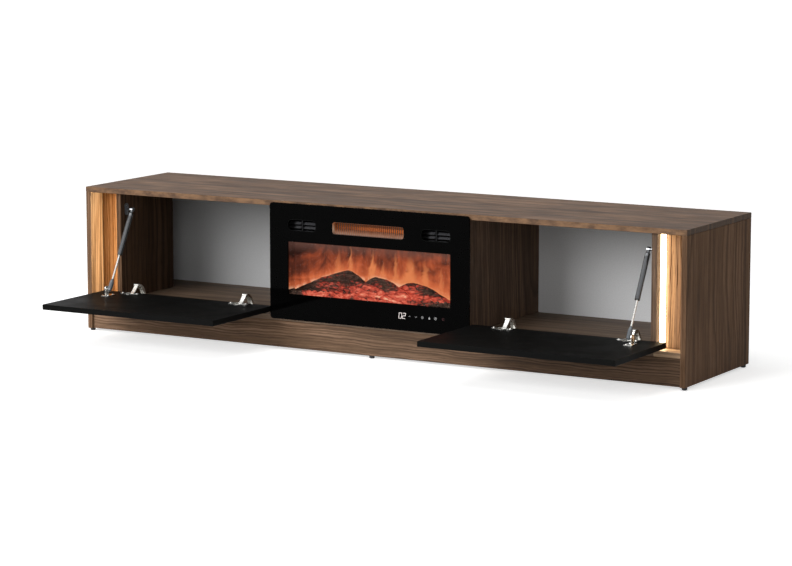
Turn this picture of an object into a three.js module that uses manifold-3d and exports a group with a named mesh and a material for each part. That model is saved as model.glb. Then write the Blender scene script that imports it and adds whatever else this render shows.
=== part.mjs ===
import * as THREE from 'three';
import { mergeVertices } from 'three/addons/utils/BufferGeometryUtils.js';
import Module from 'manifold-3d';

const wasm = await Module();
wasm.setup();

// Low media cabinet with two drop-down doors, lit end niches and an electric fireplace insert.
// Millimetres, +X to the right, +Y to the back, +Z up. Depths count from the front edge of the
// top panel, heights from the underside of the side panels.

// Carcass
const cabinetWidth = 2000;
const cabinetDepth = 440;
const carcassHeight = 436;
const board = 16;
const backThickness = 3;
const edgeEase = 0.8;
const plinthHeight = 79;
const plinthRecess = 8;
const nicheWidth = 82.4;
const nicheDepth = 64;
const dividerRecess = 20;
const dividerDepth = 280;
const bayWidth = 620;
const cableSlotWidth = 90;
const cableSlotHeight = 50;
const cableSlotLift = 40;

// Clearances
const seatGap = 0.3;
const cutOverrun = 2;
const weldReach = 0.0001;

// Glides under the boards
const glideHeight = 8;
const glideRadius = 8;
const glideToe = 2;
const glideFrontInset = 15;
const glideBackInset = 22;

// Dowels
const dowelRadius = 4;
const dowelLength = 28;
const dowelFaceDepth = 10;
const dowelFrontInset = 60;
const dowelBackInset = 60;

// Light strips in the niches
const ledGap = 1;
const ledWidth = 17;
const ledProud = 7;
const ledWall = 1.2;
const diffuserThickness = 1.6;
const diffuserCorner = 3;
const stripThickness = 1.2;
const stripWidth = 10;
const ledChip = 5;
const ledChipHeight = 1.4;
const ledPitch = 22;

// Doors, hinged along their lower edge and drawn open
const doorThickness = 16;
const doorEndInset = 61.5;
const doorSideGap = 2.5;
const doorTopGap = 2;
const doorBottomGap = 3;
const doorFaceInset = 1.5;
const pivotBehindFace = 0.15;
const pivotAboveEdge = 6.85;

// Cup hinges
const hingeOuterInset = 106.5;
const hingeInnerInset = 106.5;
const cupRadius = 17.2;
const cupWall = 0.8;
const cupDepth = 11;
const cupEdge = 5;
const cupFlangeRadius = 19.5;
const cupFlangeThickness = 1.2;
const wingSpan = 66;
const wingDepth = 15;
const wingCorner = 5;
const cupNotchDepth = 2;
const cupPinBack = 11.5;
const cupPinDepth = 2;
const armPivotReach = 42.5;
const linkWidth = 12;
const linkThickness = 2.6;
const linkBow = -2;
const linkTip = 1.2;
const linkEye = 3.4;
const armPinRadius = 1.5;
const armPinClear = 0.3;
const armCheek = 1.5;
const armWeb = 1.6;
const armDepth = 7;
const armFootFront = 60;
const armFootBack = 80;
const plateWingSpan = 56;
const plateWingDepth = 16;
const plateThickness = 2;
const plateBodyWidth = 22;
const plateBodyHeight = 7;

// Gas struts
const strutInset = 22;
const strutAnchorBack = 48.5;
const strutAnchorDrop = 51;
const strutBallForward = 75.35;
const strutBallHeight = 19.3;
const tubeRadius = 7.5;
const tubeBore = 6.2;
const tubeLength = 150;
const tubeCap = 6;
const tubeShoulder = 4;
const tubeHead = 18;
const eyeRadius = 6.5;
const eyeWidth = 9;
const studRadius = 3;
const studClear = 0.4;
const pistonRadius = 5.8;
const pistonLength = 8;
const pistonDepth = 18;
const rodRadius = 3;
const rodClear = 0.3;
const socketRadius = 7;
const socketNeck = 4.5;
const socketLength = 31;
const wallPlateWidth = 18;
const wallPlateHeight = 36;
const wallPlateThickness = 2;
const wallPlateCorner = 6;
const screwHoleRadius = 2.2;
const screwHolePitch = 22;
const doorPlateLength = 38;
const doorPlateWidth = 25;
const doorPlateThickness = 1.8;
const earWidth = 18;
const earThickness = 2;
const earGap = 3;

// Fireplace insert, heights from the lower edge of its glass
const glassLap = 23;
const glassDrop = 8;
const glassTopDrop = 5;
const glassThickness = 5;
const glassProud = 8;
const glassCorner = 9;
const windowInset = 61.5;
const windowLift = 76.5;
const windowTopGap = 32;
const windowCorner = 2;
const paneLap = 9;
const paneThickness = 3;
const slotInset = 152.5;
const slotHeight = 35;
const slotCorner = 8;
const slotDrop = 63;
const ventWidth = 99;
const ventHeight = 36;
const ventCorner = 14;
const ventInset = 48;
const ventDepth = 15;
const ventProud = 1;
const ventRim = 2;
const ventSlat = 1.6;
const ventSlatChord = 9;
const ventSlatTilt = Math.PI / 5;
const ventRib = 3;
const housingClear = 7;
const housingInset = 14;
const housingDepth = 150;
const housingWall = 1.5;
const flangeInset = 6;
const flangeThickness = 2.4;
const chamberHeight = 84;

// Flame effect behind the window
const bedFront = 4;
const bedLedge = 78;
const bedThickness = 19;
const coalReach = 20;
const coalHeight = 20;
const coalPitch = 34;
const coalMix = 1.7;
const coalPhase = 1;
const screenFront = 78;
const screenThickness = 2;
const logDepth = 25;
const logSpacing = 26;
const logRowFront = 24;
const logSink = 4;
const barkRidge = 2.2;
const barkWaves = 5;
const barkTwist = 0.9;
const knotWaves = 3;
const knotTwist = 1.7;
const spindleBack = 112;
const spindleRise = 29.5;
const spindleRadius = 3;
const petalReach = 22;
const petalWidth = 34;
const petalThickness = 0.8;
const petalLean = Math.PI / 12;
const petalTurn = Math.PI / 5;
const petalPitch = 52;
const bushRadius = 9;
const bushLength = 8;
const spindleMotorRadius = 24;
const spindleMotorLength = 20;
const motorCheekDepth = 4;
const lightBoardInset = 21.5;
const lightBoardWidth = 26;
const lightBoardBack = 40;
const circuitThickness = 1.6;
const standoff = 4;
const standoffRadius = 3;
const controlLength = 170;
const controlHeight = 34;
const controlInset = 31.5;
const controlLift = 43;
const displayWidth = 32;
const displayHeight = 18;
const displayDepth = 8;
const displayOffset = 70;
const keyPitch = 23;
const keySize = 9;
const keyDepth = 3;

// Heater above the window
const guardBack = 4;
const guardThickness = 2.4;
const guardBorder = 3;
const guardLap = 6;
const guardWire = 1.1;
const guardPitch = 6.8;
const heaterTubeRadius = 5;
const heaterCapRadius = 6.6;
const heaterCapLength = 14;
const heaterTubeBack = 20;
const reflectorShort = 2;
const reflectorHeight = 42;
const reflectorDepth = 22;
const reflectorSheet = 1;
const cheekFront = 6.8;
const cheekDepth = 34;
const wheelBack = 100;
const wheelRadius = 30;
const wheelShort = 36;
const wheelHub = 3;
const wheelDisc = 1.6;
const wheelBlade = 1;
const wheelBladeChord = 9;
const wheelBladePitch = 12;
const wheelBladeTilt = Math.PI / 5;
const journal = 8;
const journalEngage = 6;
const pedestalWidth = 20;
const pedestalThickness = 5;
const pedestalHead = 10;
const motorRadius = 25;
const motorLength = 34;
const motorFootWidth = 44;
const motorFootThickness = 3;
const glandRadius = 11;
const glandLength = 18;
const glandBore = 4;
const glandCollar = 4;
const glandInset = 103;
const glandLift = 50;

// Counts
const roundSides = 12;
const dowelSides = 6;
const pinSides = 10;
const fineSides = 18;
const cornerSteps = 3;
const curveSteps = 6;
const barkStations = 17;
const barkArcs = 8;
const bedColumns = 38;
const bedRows = 4;
const climbPower = 0.9;
const fallPower = 1.3;
const archPower = 0.8;

// Finishes
const finishes = {
  walnut: { color: 0x5e4534, roughness: 0.6, metalness: 0 },
  litOak: { color: 0xb98552, roughness: 0.6, metalness: 0 },
  backboard: { color: 0xb4b4b4, roughness: 0.8, metalness: 0 },
  blackLacquer: { color: 0x17171a, roughness: 0.45, metalness: 0 },
  blackPlastic: { color: 0x101012, roughness: 0.5, metalness: 0 },
  blackGlass: { color: 0x0a0a0c, roughness: 0.08, metalness: 0 },
  clearGlass: { color: 0x9fb0b4, roughness: 0.03, metalness: 0, transparent: true, opacity: 0.25 },
  opal: { color: 0xfff1d8, roughness: 0.5, metalness: 0 },
  nickel: { color: 0xc9c9c6, roughness: 0.3, metalness: 0.9 },
  greySteel: { color: 0x77787a, roughness: 0.4, metalness: 0.7 },
  sheetSteel: { color: 0x2b2b2d, roughness: 0.5, metalness: 0.6 },
  polished: { color: 0xd8d8d8, roughness: 0.15, metalness: 1 },
  quartz: { color: 0xe06a34, roughness: 0.2, metalness: 0 },
  charred: { color: 0x3a2a26, roughness: 0.95, metalness: 0 },
  flameScreen: { color: 0xb0553a, roughness: 0.4, metalness: 0 },
  circuit: { color: 0x1f5a35, roughness: 0.6, metalness: 0.1 },
};

// Levels and faces that several pieces share
const halfWidth = cabinetWidth / 2;
const sideInner = halfWidth - board;
const dividerOuter = sideInner - nicheWidth;
const dividerInner = dividerOuter - board;
const bayHalf = bayWidth / 2;
const topUnderside = carcassHeight - board;
const floorTop = plinthHeight + board;
const backFace = cabinetDepth - backThickness;
const glassWidth = bayWidth + 2 * glassLap;
const glassHeight = carcassHeight - glassTopDrop - floorTop + glassDrop;
const housingHalf = bayHalf - housingClear;
const glandOffset = housingHalf - glandInset;
const doorBottom = floorTop + doorBottomGap;
const doorHeight = topUnderside - doorTopGap - doorBottom;
const doorOuter = halfWidth - doorEndInset;
const doorInner = glassWidth / 2 + doorSideGap;
const pivotBack = doorFaceInset + pivotBehindFace;
const pivotLift = doorBottom + pivotAboveEdge;
const doorInside = doorThickness - pivotBehindFace;
const doorReach = doorHeight - pivotBack - pivotAboveEdge;
const sides = [
  { label: 'left', sign: -1 },
  { label: 'right', sign: 1 },
];

// Solids
function solidFrom(geometry) {
  const bare = geometry.clone();
  bare.deleteAttribute('normal');
  bare.deleteAttribute('uv');
  const merged = mergeVertices(bare, weldReach);
  const corners = new Float32Array(merged.attributes.position.array);
  const faces = new Uint32Array(merged.index.array);
  if (signedVolume(corners, faces) < 0) {
    faces.reverse();
  }
  return new wasm.Manifold(new wasm.Mesh({ numProp: 3, vertProperties: corners, triVerts: faces }));
}

function signedVolume(corners, faces) {
  const a = new THREE.Vector3();
  const b = new THREE.Vector3();
  const c = new THREE.Vector3();
  let sum = 0;
  for (let i = 0; i < faces.length; i += 3) {
    a.fromArray(corners, faces[i] * 3);
    b.fromArray(corners, faces[i + 1] * 3);
    c.fromArray(corners, faces[i + 2] * 3);
    sum += a.dot(b.cross(c));
  }
  return sum;
}

function geometryFrom(solid) {
  const { vertProperties, triVerts } = solid.getMesh();
  const geometry = new THREE.BufferGeometry();
  geometry.setAttribute('position', new THREE.BufferAttribute(new Float32Array(vertProperties), 3));
  geometry.setIndex(new THREE.BufferAttribute(new Uint32Array(triVerts), 1));
  geometry.computeVertexNormals();
  return geometry;
}

function join(geometries) {
  let solid = solidFrom(geometries[0]);
  for (const geometry of geometries.slice(1)) {
    solid = solid.add(solidFrom(geometry));
  }
  return geometryFrom(solid);
}

function cut(geometry, cutters) {
  let solid = solidFrom(geometry);
  for (const cutter of cutters) {
    solid = solid.subtract(solidFrom(cutter));
  }
  return geometryFrom(solid);
}

function node(name, geometry, finish) {
  const mesh = new THREE.Mesh(geometry, new THREE.MeshStandardMaterial(finishes[finish]));
  mesh.name = name;
  return mesh;
}

// Outlines and basic shapes
function middle(span) {
  return (span[0] + span[1]) / 2;
}

function length(span) {
  return Math.abs(span[1] - span[0]);
}

function mirrored(sign, inner, outer) {
  return sign < 0 ? [-outer, -inner] : [inner, outer];
}

function squarePoints(width, height) {
  const corners = [[-width, -height], [width, -height], [width, height], [-width, height]];
  return corners.map(([x, y]) => new THREE.Vector2(x / 2, y / 2));
}

function roundedPoints(width, height, radius) {
  const points = [];
  const centres = [
    [width / 2 - radius, height / 2 - radius],
    [radius - width / 2, height / 2 - radius],
    [radius - width / 2, radius - height / 2],
    [width / 2 - radius, radius - height / 2],
  ];
  centres.forEach(([x, y], quarter) => {
    for (let step = 0; step <= cornerSteps; step += 1) {
      const angle = (quarter + step / cornerSteps) * Math.PI / 2;
      points.push(new THREE.Vector2(x + radius * Math.cos(angle), y + radius * Math.sin(angle)));
    }
  });
  return points;
}

function boxBetween(xs, ys, zs) {
  const box = new THREE.BoxGeometry(length(xs), length(ys), length(zs));
  return box.translate(middle(xs), middle(ys), middle(zs));
}

function extrude(points, depth, holes = []) {
  const shape = new THREE.Shape(points);
  for (const hole of holes) {
    shape.holes.push(new THREE.Path(hole));
  }
  return new THREE.ExtrudeGeometry(shape, { depth, bevelEnabled: false });
}

// An outline drawn in x and z, with its front face at depth zero and its back face behind it
function facing(points, depth, holes = []) {
  return extrude(points, depth, holes).rotateX(Math.PI / 2).translate(0, depth, 0);
}

// An outline drawn in y and z, extruded along x and centred on it
function across(points, width, holes = []) {
  const turned = extrude(points, width, holes).translate(0, 0, -width / 2);
  return turned.applyMatrix4(new THREE.Matrix4().set(0, 0, 1, 0, 1, 0, 0, 0, 0, 1, 0, 0, 0, 0, 0, 1));
}

function shift(points, x, y) {
  return points.map((point) => new THREE.Vector2(point.x + x, point.y + y));
}

function roundBar(radius, bar, sidesAround = roundSides) {
  return new THREE.CylinderGeometry(radius, radius, bar, sidesAround);
}

function turned(points, sidesAround = roundSides) {
  return new THREE.LatheGeometry(points.map(([x, y]) => new THREE.Vector2(x, y)), sidesAround);
}

// A flat board with eased edges that fills the three spans, its thin side found from them
function boardBetween(name, xs, ys, zs, finish) {
  const size = [length(xs), length(ys), length(zs)];
  const thin = Math.min(...size);
  const ease = Math.min(edgeEase, thin / 4);
  const wide = (thin === size[0] ? size[2] : size[0]) - 2 * ease;
  const tall = (thin === size[1] ? size[2] : size[1]) - 2 * ease;
  const shape = new THREE.Shape(squarePoints(wide, tall));
  const bevel = { bevelEnabled: true, bevelSize: ease, bevelThickness: ease, bevelSegments: 1 };
  const geometry = new THREE.ExtrudeGeometry(shape, { depth: thin - 2 * ease, ...bevel });
  geometry.translate(0, 0, ease - thin / 2);
  if (thin === size[0]) {
    geometry.rotateY(Math.PI / 2);
  } else if (thin === size[1]) {
    geometry.rotateX(Math.PI / 2);
  }
  const mesh = node(name, geometry, finish);
  mesh.position.set(middle(xs), middle(ys), middle(zs));
  return mesh;
}

function drill(mesh, cutters) {
  const { x, y, z } = mesh.position;
  mesh.geometry = cut(mesh.geometry, cutters.map((cutter) => cutter.clone().translate(-x, -y, -z)));
}

function peg(mesh, pegs) {
  const { x, y, z } = mesh.position;
  mesh.geometry = join([mesh.geometry, ...pegs.map((piece) => piece.clone().translate(-x, -y, -z))]);
}

// Dowels, glued into one board and running into a bore in the next
function dowelAt(x, y, low, high, clearance) {
  const peg = roundBar(dowelRadius + clearance, high - low + 2 * clearance, dowelSides);
  return peg.rotateX(Math.PI / 2).translate(x, y, (low + high) / 2);
}

function sideDowelAt(sign, y, z, clearance) {
  const inner = sideInner + dowelFaceDepth - dowelLength;
  const peg = roundBar(dowelRadius + clearance, dowelLength + 2 * clearance, dowelSides);
  return peg.rotateZ(Math.PI / 2).translate(sign * (inner + dowelLength / 2), y, z);
}

// Every dowel with the board that holds it and the board that it enters
function dowelPlan() {
  const topLow = topUnderside + dowelFaceDepth - dowelLength;
  const floorLow = floorTop - dowelFaceDepth;
  const frontAndBack = [dowelFrontInset, cabinetDepth - dowelBackInset];
  const dividerYs = [dowelFrontInset, dividerRecess + dividerDepth - dowelFrontInset];
  const plan = [];
  for (const { label, sign } of sides) {
    const bothEnds = [topLow, floorLow];
    const uprights = [
      { holder: `${label}_side_panel`, x: halfWidth - board / 2, ys: frontAndBack, lows: [topLow] },
      { holder: `${label}_outer_divider`, x: dividerOuter - board / 2, ys: dividerYs, lows: bothEnds },
      { holder: `${label}_fireplace_divider`, x: bayHalf + board / 2, ys: frontAndBack, lows: bothEnds },
    ];
    for (const { holder, x, ys, lows } of uprights) {
      for (const y of ys) {
        for (const low of lows) {
          const entered = low === topLow ? 'top_panel' : 'bottom_panel';
          const make = (clearance) => dowelAt(sign * x, y, low, low + dowelLength, clearance);
          plan.push({ holder, entered, make });
        }
      }
    }
    for (const y of frontAndBack) {
      const make = (clearance) => sideDowelAt(sign, y, plinthHeight + board / 2, clearance);
      plan.push({ holder: 'bottom_panel', entered: `${label}_side_panel`, make });
    }
  }
  return plan;
}

// Carcass boards
function carcassBoards() {
  const inner = sideInner - seatGap;
  const rear = backFace - seatGap;
  const uprightZ = [floorTop + seatGap, topUnderside - seatGap];
  const panels = [
    boardBetween('top_panel', [-halfWidth, halfWidth], [0, cabinetDepth],
      [topUnderside, carcassHeight], 'walnut'),
    boardBetween('bottom_panel', [-inner, inner], [plinthRecess, rear], [plinthHeight, floorTop], 'walnut'),
    boardBetween('front_plinth', [-inner, inner], [plinthRecess, plinthRecess + board],
      [0, plinthHeight - seatGap], 'walnut'),
    boardBetween('rear_rail', [-inner, inner], [rear - board, rear], [0, plinthHeight - seatGap], 'walnut'),
  ];
  for (const { label, sign } of sides) {
    panels.push(boardBetween(`${label}_side_panel`, mirrored(sign, sideInner, halfWidth), [0, cabinetDepth],
      [0, topUnderside - seatGap], 'walnut'));
    panels.push(boardBetween(`${label}_outer_divider`, mirrored(sign, dividerInner, dividerOuter),
      [dividerRecess, dividerRecess + dividerDepth], uprightZ, 'walnut'));
    panels.push(boardBetween(`${label}_fireplace_divider`, mirrored(sign, bayHalf, bayHalf + board),
      [0, rear], uprightZ, 'walnut'));
    panels.push(boardBetween(`${label}_niche_back`, mirrored(sign, dividerOuter + seatGap, inner),
      [nicheDepth, nicheDepth + board], uprightZ, 'litOak'));
  }
  return panels;
}

function backPanel() {
  const half = sideInner - seatGap;
  const panel = boardBetween('back_panel', [-half, half], [backFace, cabinetDepth],
    [plinthHeight, topUnderside - seatGap], 'backboard');
  const slot = facing(roundedPoints(cableSlotWidth, cableSlotHeight, cableSlotHeight / 4), backThickness * 3);
  const level = floorTop + cableSlotLift + cableSlotHeight / 2;
  drill(panel, [slot.translate(-glandOffset, backFace - backThickness, level)]);
  return panel;
}

function carcass() {
  const group = new THREE.Group();
  const boards = carcassBoards();
  const plan = dowelPlan();
  for (const mesh of boards) {
    const bores = plan.filter((dowel) => dowel.entered === mesh.name).map((dowel) => dowel.make(seatGap));
    const pegs = plan.filter((dowel) => dowel.holder === mesh.name).map((dowel) => dowel.make(0));
    drill(mesh, bores);
    peg(mesh, pegs);
  }
  group.add(...boards, backPanel());
  return group;
}

// Glides under the corners and under the middle of the plinth
function glides() {
  const group = new THREE.Group();
  const profile = [[0, -glideHeight], [glideRadius - glideToe, -glideHeight],
    [glideRadius, glideToe - glideHeight], [glideRadius, -seatGap], [0, -seatGap]];
  const end = halfWidth - board / 2;
  const places = [{ name: 'middle_glide', x: 0, y: plinthRecess + board / 2 }];
  for (const { label, sign } of sides) {
    places.push({ name: `${label}_front_glide`, x: sign * end, y: glideFrontInset });
    places.push({ name: `${label}_back_glide`, x: sign * end, y: cabinetDepth - glideBackInset });
  }
  for (const { name, x, y } of places) {
    const foot = node(name, turned(profile).rotateX(Math.PI / 2), 'blackPlastic');
    foot.position.set(x, y, 0);
    group.add(foot);
  }
  return group;
}

// One niche light: channel with its light strip on the divider's outer face, opal cover clipped over it
function nicheLight({ label, sign }) {
  const group = new THREE.Group();
  const root = dividerOuter + seatGap;
  const mouth = root + ledProud;
  const bed = root + ledWall;
  const back = nicheDepth - ledGap - diffuserThickness - seatGap;
  const front = back - ledWidth;
  const centre = (front + back) / 2;
  const zs = [floorTop + seatGap, topUnderside - seatGap];
  const outside = boxBetween(mirrored(sign, root, mouth), [front, back], zs);
  const hollow = boxBetween(mirrored(sign, bed, mouth + cutOverrun), [front + ledWall, back - ledWall],
    [zs[0] - cutOverrun, zs[1] + cutOverrun]);
  const stripY = [centre - stripWidth / 2, centre + stripWidth / 2];
  const pieces = [cut(outside, [hollow]), boxBetween(mirrored(sign, root, bed + stripThickness), stripY, zs)];
  const chips = Math.floor(length(zs) / ledPitch);
  for (let i = 0; i < chips; i += 1) {
    const z = middle(zs) + (i - (chips - 1) / 2) * ledPitch;
    pieces.push(boxBetween(mirrored(sign, bed, bed + stripThickness + ledChipHeight),
      [centre - ledChip / 2, centre + ledChip / 2], [z - ledChip / 2, z + ledChip / 2]));
  }
  group.add(node(`${label}_led_profile`, join(pieces), 'greySteel'));
  const inside = boxBetween(mirrored(sign, 0, mouth + seatGap), [front - seatGap, back + seatGap],
    [zs[0] - cutOverrun, zs[1] + cutOverrun]);
  const wide = ledWidth + 2 * seatGap + 2 * diffuserThickness;
  const proud = ledProud + seatGap + diffuserThickness;
  const rounded = extrude(roundedPoints(2 * proud, wide, diffuserCorner), length(zs))
    .translate(sign * root, centre, zs[0]);
  const behind = boxBetween(mirrored(sign, 0, root), [front - wide, back + wide], [0, carcassHeight]);
  group.add(node(`${label}_led_diffuser`, cut(rounded, [inside, behind]), 'opal'));
  return group;
}

// Hinge geometry, worked out in the plane across the pivot
const cupCentre = pivotAboveEdge - cupEdge - cupRadius - seatGap;
const cupPin = new THREE.Vector2(cupCentre + cupPinBack, doorInside - cupPinDepth);
const armAway = new THREE.Vector2(cupPin.x + cupPin.y, cupPin.y - cupPin.x).setLength(armPivotReach);
const linkSpan = new THREE.Vector2().subVectors(cupPin, armAway);

const hingePlaces = [
  { place: 'outer', x: doorOuter - hingeOuterInset },
  { place: 'inner', x: doorInner + hingeInnerInset },
];

function bandPoints(start, control, end, thickness) {
  const curve = new THREE.QuadraticBezierCurve(start, control, end);
  const left = [];
  const right = [];
  for (let i = 0; i <= curveSteps; i += 1) {
    const t = i / curveSteps;
    const point = curve.getPoint(t);
    const along = curve.getTangent(t);
    left.push(new THREE.Vector2(point.x - along.y * thickness / 2, point.y + along.x * thickness / 2));
    right.push(new THREE.Vector2(point.x + along.y * thickness / 2, point.y - along.x * thickness / 2));
  }
  return [...left, ...right.reverse()];
}

function discAcross(radius, width, y, z) {
  return roundBar(radius, width, pinSides).rotateZ(Math.PI / 2).translate(0, y, z);
}

// The swinging link, its origin on the arm's pin
function hingeLink() {
  const end = linkSpan;
  const bow = new THREE.Vector2(end.y, -end.x).normalize().multiplyScalar(linkBow);
  const control = end.clone().multiplyScalar(1 / 2).add(bow);
  const band = across(bandPoints(new THREE.Vector2(0, 0), control, end, linkThickness), linkWidth);
  const tip = discAcross(linkTip, linkWidth, end.x, end.y);
  const eye = discAcross(linkEye, linkWidth, 0, 0);
  const bore = discAcross(armPinRadius + armPinClear, linkWidth + 2 * cutOverrun, 0, 0);
  return cut(join([band, tip, eye]), [bore]);
}

// The fixed arm with its pin and the mounting plate under it, its origin on the arm's pin
function hingeArm() {
  const drop = floorTop + seatGap - pivotLift - armAway.y;
  const footBack = armFootBack - pivotBack - armAway.x;
  const footFront = armFootFront - pivotBack - armAway.x;
  const start = new THREE.Vector2(0, 0);
  const end = new THREE.Vector2(footFront, drop + plateThickness + armDepth / 2);
  const control = new THREE.Vector2(footFront * 2 / 3, armDepth / 2);
  const outer = linkWidth + 2 * seatGap + 2 * armCheek;
  const arch = across(bandPoints(start, control, end, armDepth), outer);
  const nose = discAcross(armDepth / 2, outer, 0, 0);
  const inside = linkWidth + 2 * seatGap;
  const lift = new THREE.Vector2(0, -armWeb);
  const hollow = across(bandPoints(lift, control.clone().add(lift), end.clone().add(lift), armDepth), inside);
  const noseHollow = discAcross(linkEye + seatGap, inside, 0, 0);
  const channel = cut(join([arch, nose]), [hollow, noseHollow]);
  const pin = discAcross(armPinRadius, outer, 0, 0);
  const foot = boxBetween([-outer / 2, outer / 2], [footFront - armDepth / 2, footBack],
    [drop + plateThickness / 2, drop + plateThickness + armDepth]);
  const wings = extrude(roundedPoints(plateWingSpan, plateWingDepth, wingCorner), plateThickness)
    .translate(0, footFront, drop);
  const base = boxBetween([-plateBodyWidth / 2, plateBodyWidth / 2], [footFront - plateWingDepth, footBack],
    [drop, drop + plateBodyHeight]);
  return join([channel, pin, foot, wings, base]);
}

// The cup let into the door, its origin on the door's pivot
function hingeCup() {
  const rimLow = doorInside + seatGap;
  const rimTop = rimLow + cupFlangeThickness;
  const base = doorInside - cupDepth;
  const bowl = turned([[0, base], [cupRadius, base], [cupRadius, rimLow], [cupFlangeRadius, rimLow],
    [cupFlangeRadius, rimTop], [cupRadius - cupWall, rimTop], [cupRadius - cupWall, base + cupWall],
    [0, base + cupWall]], fineSides).rotateX(Math.PI / 2);
  const wings = extrude(roundedPoints(wingSpan, wingDepth, wingCorner), cupFlangeThickness)
    .translate(0, 0, rimLow);
  const mouth = roundBar(cupRadius - cupWall, cupFlangeThickness + 2 * cutOverrun, fineSides)
    .rotateX(Math.PI / 2).translate(0, 0, middle([rimLow, rimTop]));
  const notchHalf = linkWidth / 2 + 2 * seatGap;
  const notchYs = [cupRadius - linkThickness - cupWall, cupFlangeRadius + cutOverrun];
  const notchZs = [rimLow - cupNotchDepth, rimTop + cutOverrun];
  const notch = boxBetween([-notchHalf, notchHalf], notchYs, notchZs);
  return cut(join([bowl, cut(wings, [mouth])]), [notch]).translate(0, cupCentre, 0);
}

function hinges({ label, sign }) {
  const group = new THREE.Group();
  group.position.set(0, pivotBack + armAway.x, pivotLift + armAway.y);
  for (const { place, x } of hingePlaces) {
    const arm = node(`${label}_${place}_hinge_arm`, hingeArm(), 'nickel');
    const link = node(`${label}_${place}_hinge_link`, hingeLink(), 'nickel');
    arm.position.x = sign * x;
    link.position.x = sign * x;
    group.add(arm, link);
  }
  return group;
}

// A strut's ends in the plane across the pivot, for the open door
const strutX = dividerInner - strutInset;
const strutBall = new THREE.Vector2(-strutBallForward, doorInside + strutBallHeight);
const strutAnchor = new THREE.Vector2(strutAnchorBack - pivotBack, topUnderside - strutAnchorDrop - pivotLift);
const strutSpan = new THREE.Vector2().subVectors(strutAnchor, strutBall);
const strutLength = strutSpan.length();
const tubeStart = strutLength - tubeLength;
const rodEnd = tubeStart + pistonDepth;

// Rod with its piston and ball socket, along +Y from the ball
function strutRod() {
  const shaft = turned([[0, 0], [socketRadius, 0], [socketRadius, socketLength * 2 / 3],
    [socketNeck, socketLength], [rodRadius, socketLength], [rodRadius, rodEnd - pistonLength],
    [pistonRadius, rodEnd - pistonLength],
    [pistonRadius, rodEnd], [0, rodEnd]]);
  const ball = new THREE.SphereGeometry(socketRadius, roundSides, roundSides / 2);
  return join([shaft, ball]);
}

// Cylinder of the strut with its eye and ball stud, in the rod's axes
function strutTube(sign) {
  const shoulder = strutLength - tubeHead + tubeShoulder;
  const hollow = strutLength - tubeHead;
  const shell = turned([[0, hollow], [tubeBore, hollow], [tubeBore, tubeStart + tubeCap],
    [rodRadius + rodClear, tubeStart + tubeCap], [rodRadius + rodClear, tubeStart],
    [tubeRadius, tubeStart], [tubeRadius, shoulder], [socketNeck, shoulder + tubeShoulder],
    [socketNeck, strutLength], [0, strutLength]]);
  const eye = discAcross(eyeRadius, eyeWidth, strutLength, 0);
  const reach = strutInset - seatGap - wallPlateThickness - studClear;
  const stud = roundBar(studRadius, reach).rotateZ(Math.PI / 2).translate(sign * reach / 2, strutLength, 0);
  return join([shell, eye, stud]);
}

function strutWallPlate({ label, sign }) {
  const hole = roundedPoints(2 * screwHoleRadius, 2 * screwHoleRadius, screwHoleRadius);
  const holes = [-1, 1].map((turn) => shift(hole, 0, turn * screwHolePitch / 2));
  const outline = roundedPoints(wallPlateWidth, wallPlateHeight, wallPlateCorner);
  const plate = across(outline, wallPlateThickness, holes);
  const mesh = node(`${label}_strut_wall_plate`, plate, 'greySteel');
  mesh.position.set(sign * (dividerInner - seatGap - wallPlateThickness / 2), strutAnchorBack,
    topUnderside - strutAnchorDrop);
  return mesh;
}

function strut(side) {
  const group = new THREE.Group();
  const { label, sign } = side;
  const tilt = Math.atan2(strutSpan.y, strutSpan.x);
  const leg = new THREE.Group();
  leg.position.set(sign * strutX, pivotBack + strutBall.x, pivotLift + strutBall.y);
  leg.rotation.x = tilt;
  leg.add(node(`${label}_strut_rod`, strutRod(), 'nickel'));
  leg.add(node(`${label}_strut_tube`, strutTube(sign), 'greySteel'));
  group.add(leg, strutWallPlate(side));
  return group;
}

// Angle bracket on the door that carries the strut's ball stud, its origin on the door's pivot
function strutDoorPlate({ label, sign }) {
  const low = doorInside + seatGap;
  const earInner = strutX + socketRadius + earGap;
  const plateOuter = earInner + earThickness + (doorPlateWidth - earThickness) / 4;
  const foot = boxBetween(mirrored(sign, plateOuter - doorPlateWidth, plateOuter),
    [strutBall.x - doorPlateLength / 2, strutBall.x + doorPlateLength / 2], [low, low + doorPlateThickness]);
  const ear = across(roundedPoints(earWidth, strutBallHeight + earWidth / 2, earWidth / 3), earThickness)
    .translate(sign * (earInner + earThickness / 2), strutBall.x, low + strutBallHeight / 2 + earWidth / 4);
  const studLength = earGap - seatGap + earThickness / 2;
  const stud = roundBar(studRadius, studLength).rotateZ(Math.PI / 2)
    .translate(sign * (earInner + earThickness / 2 - studLength / 2), strutBall.x, strutBall.y);
  return node(`${label}_strut_door_bracket`, join([foot, ear, stud]), 'nickel');
}

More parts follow.
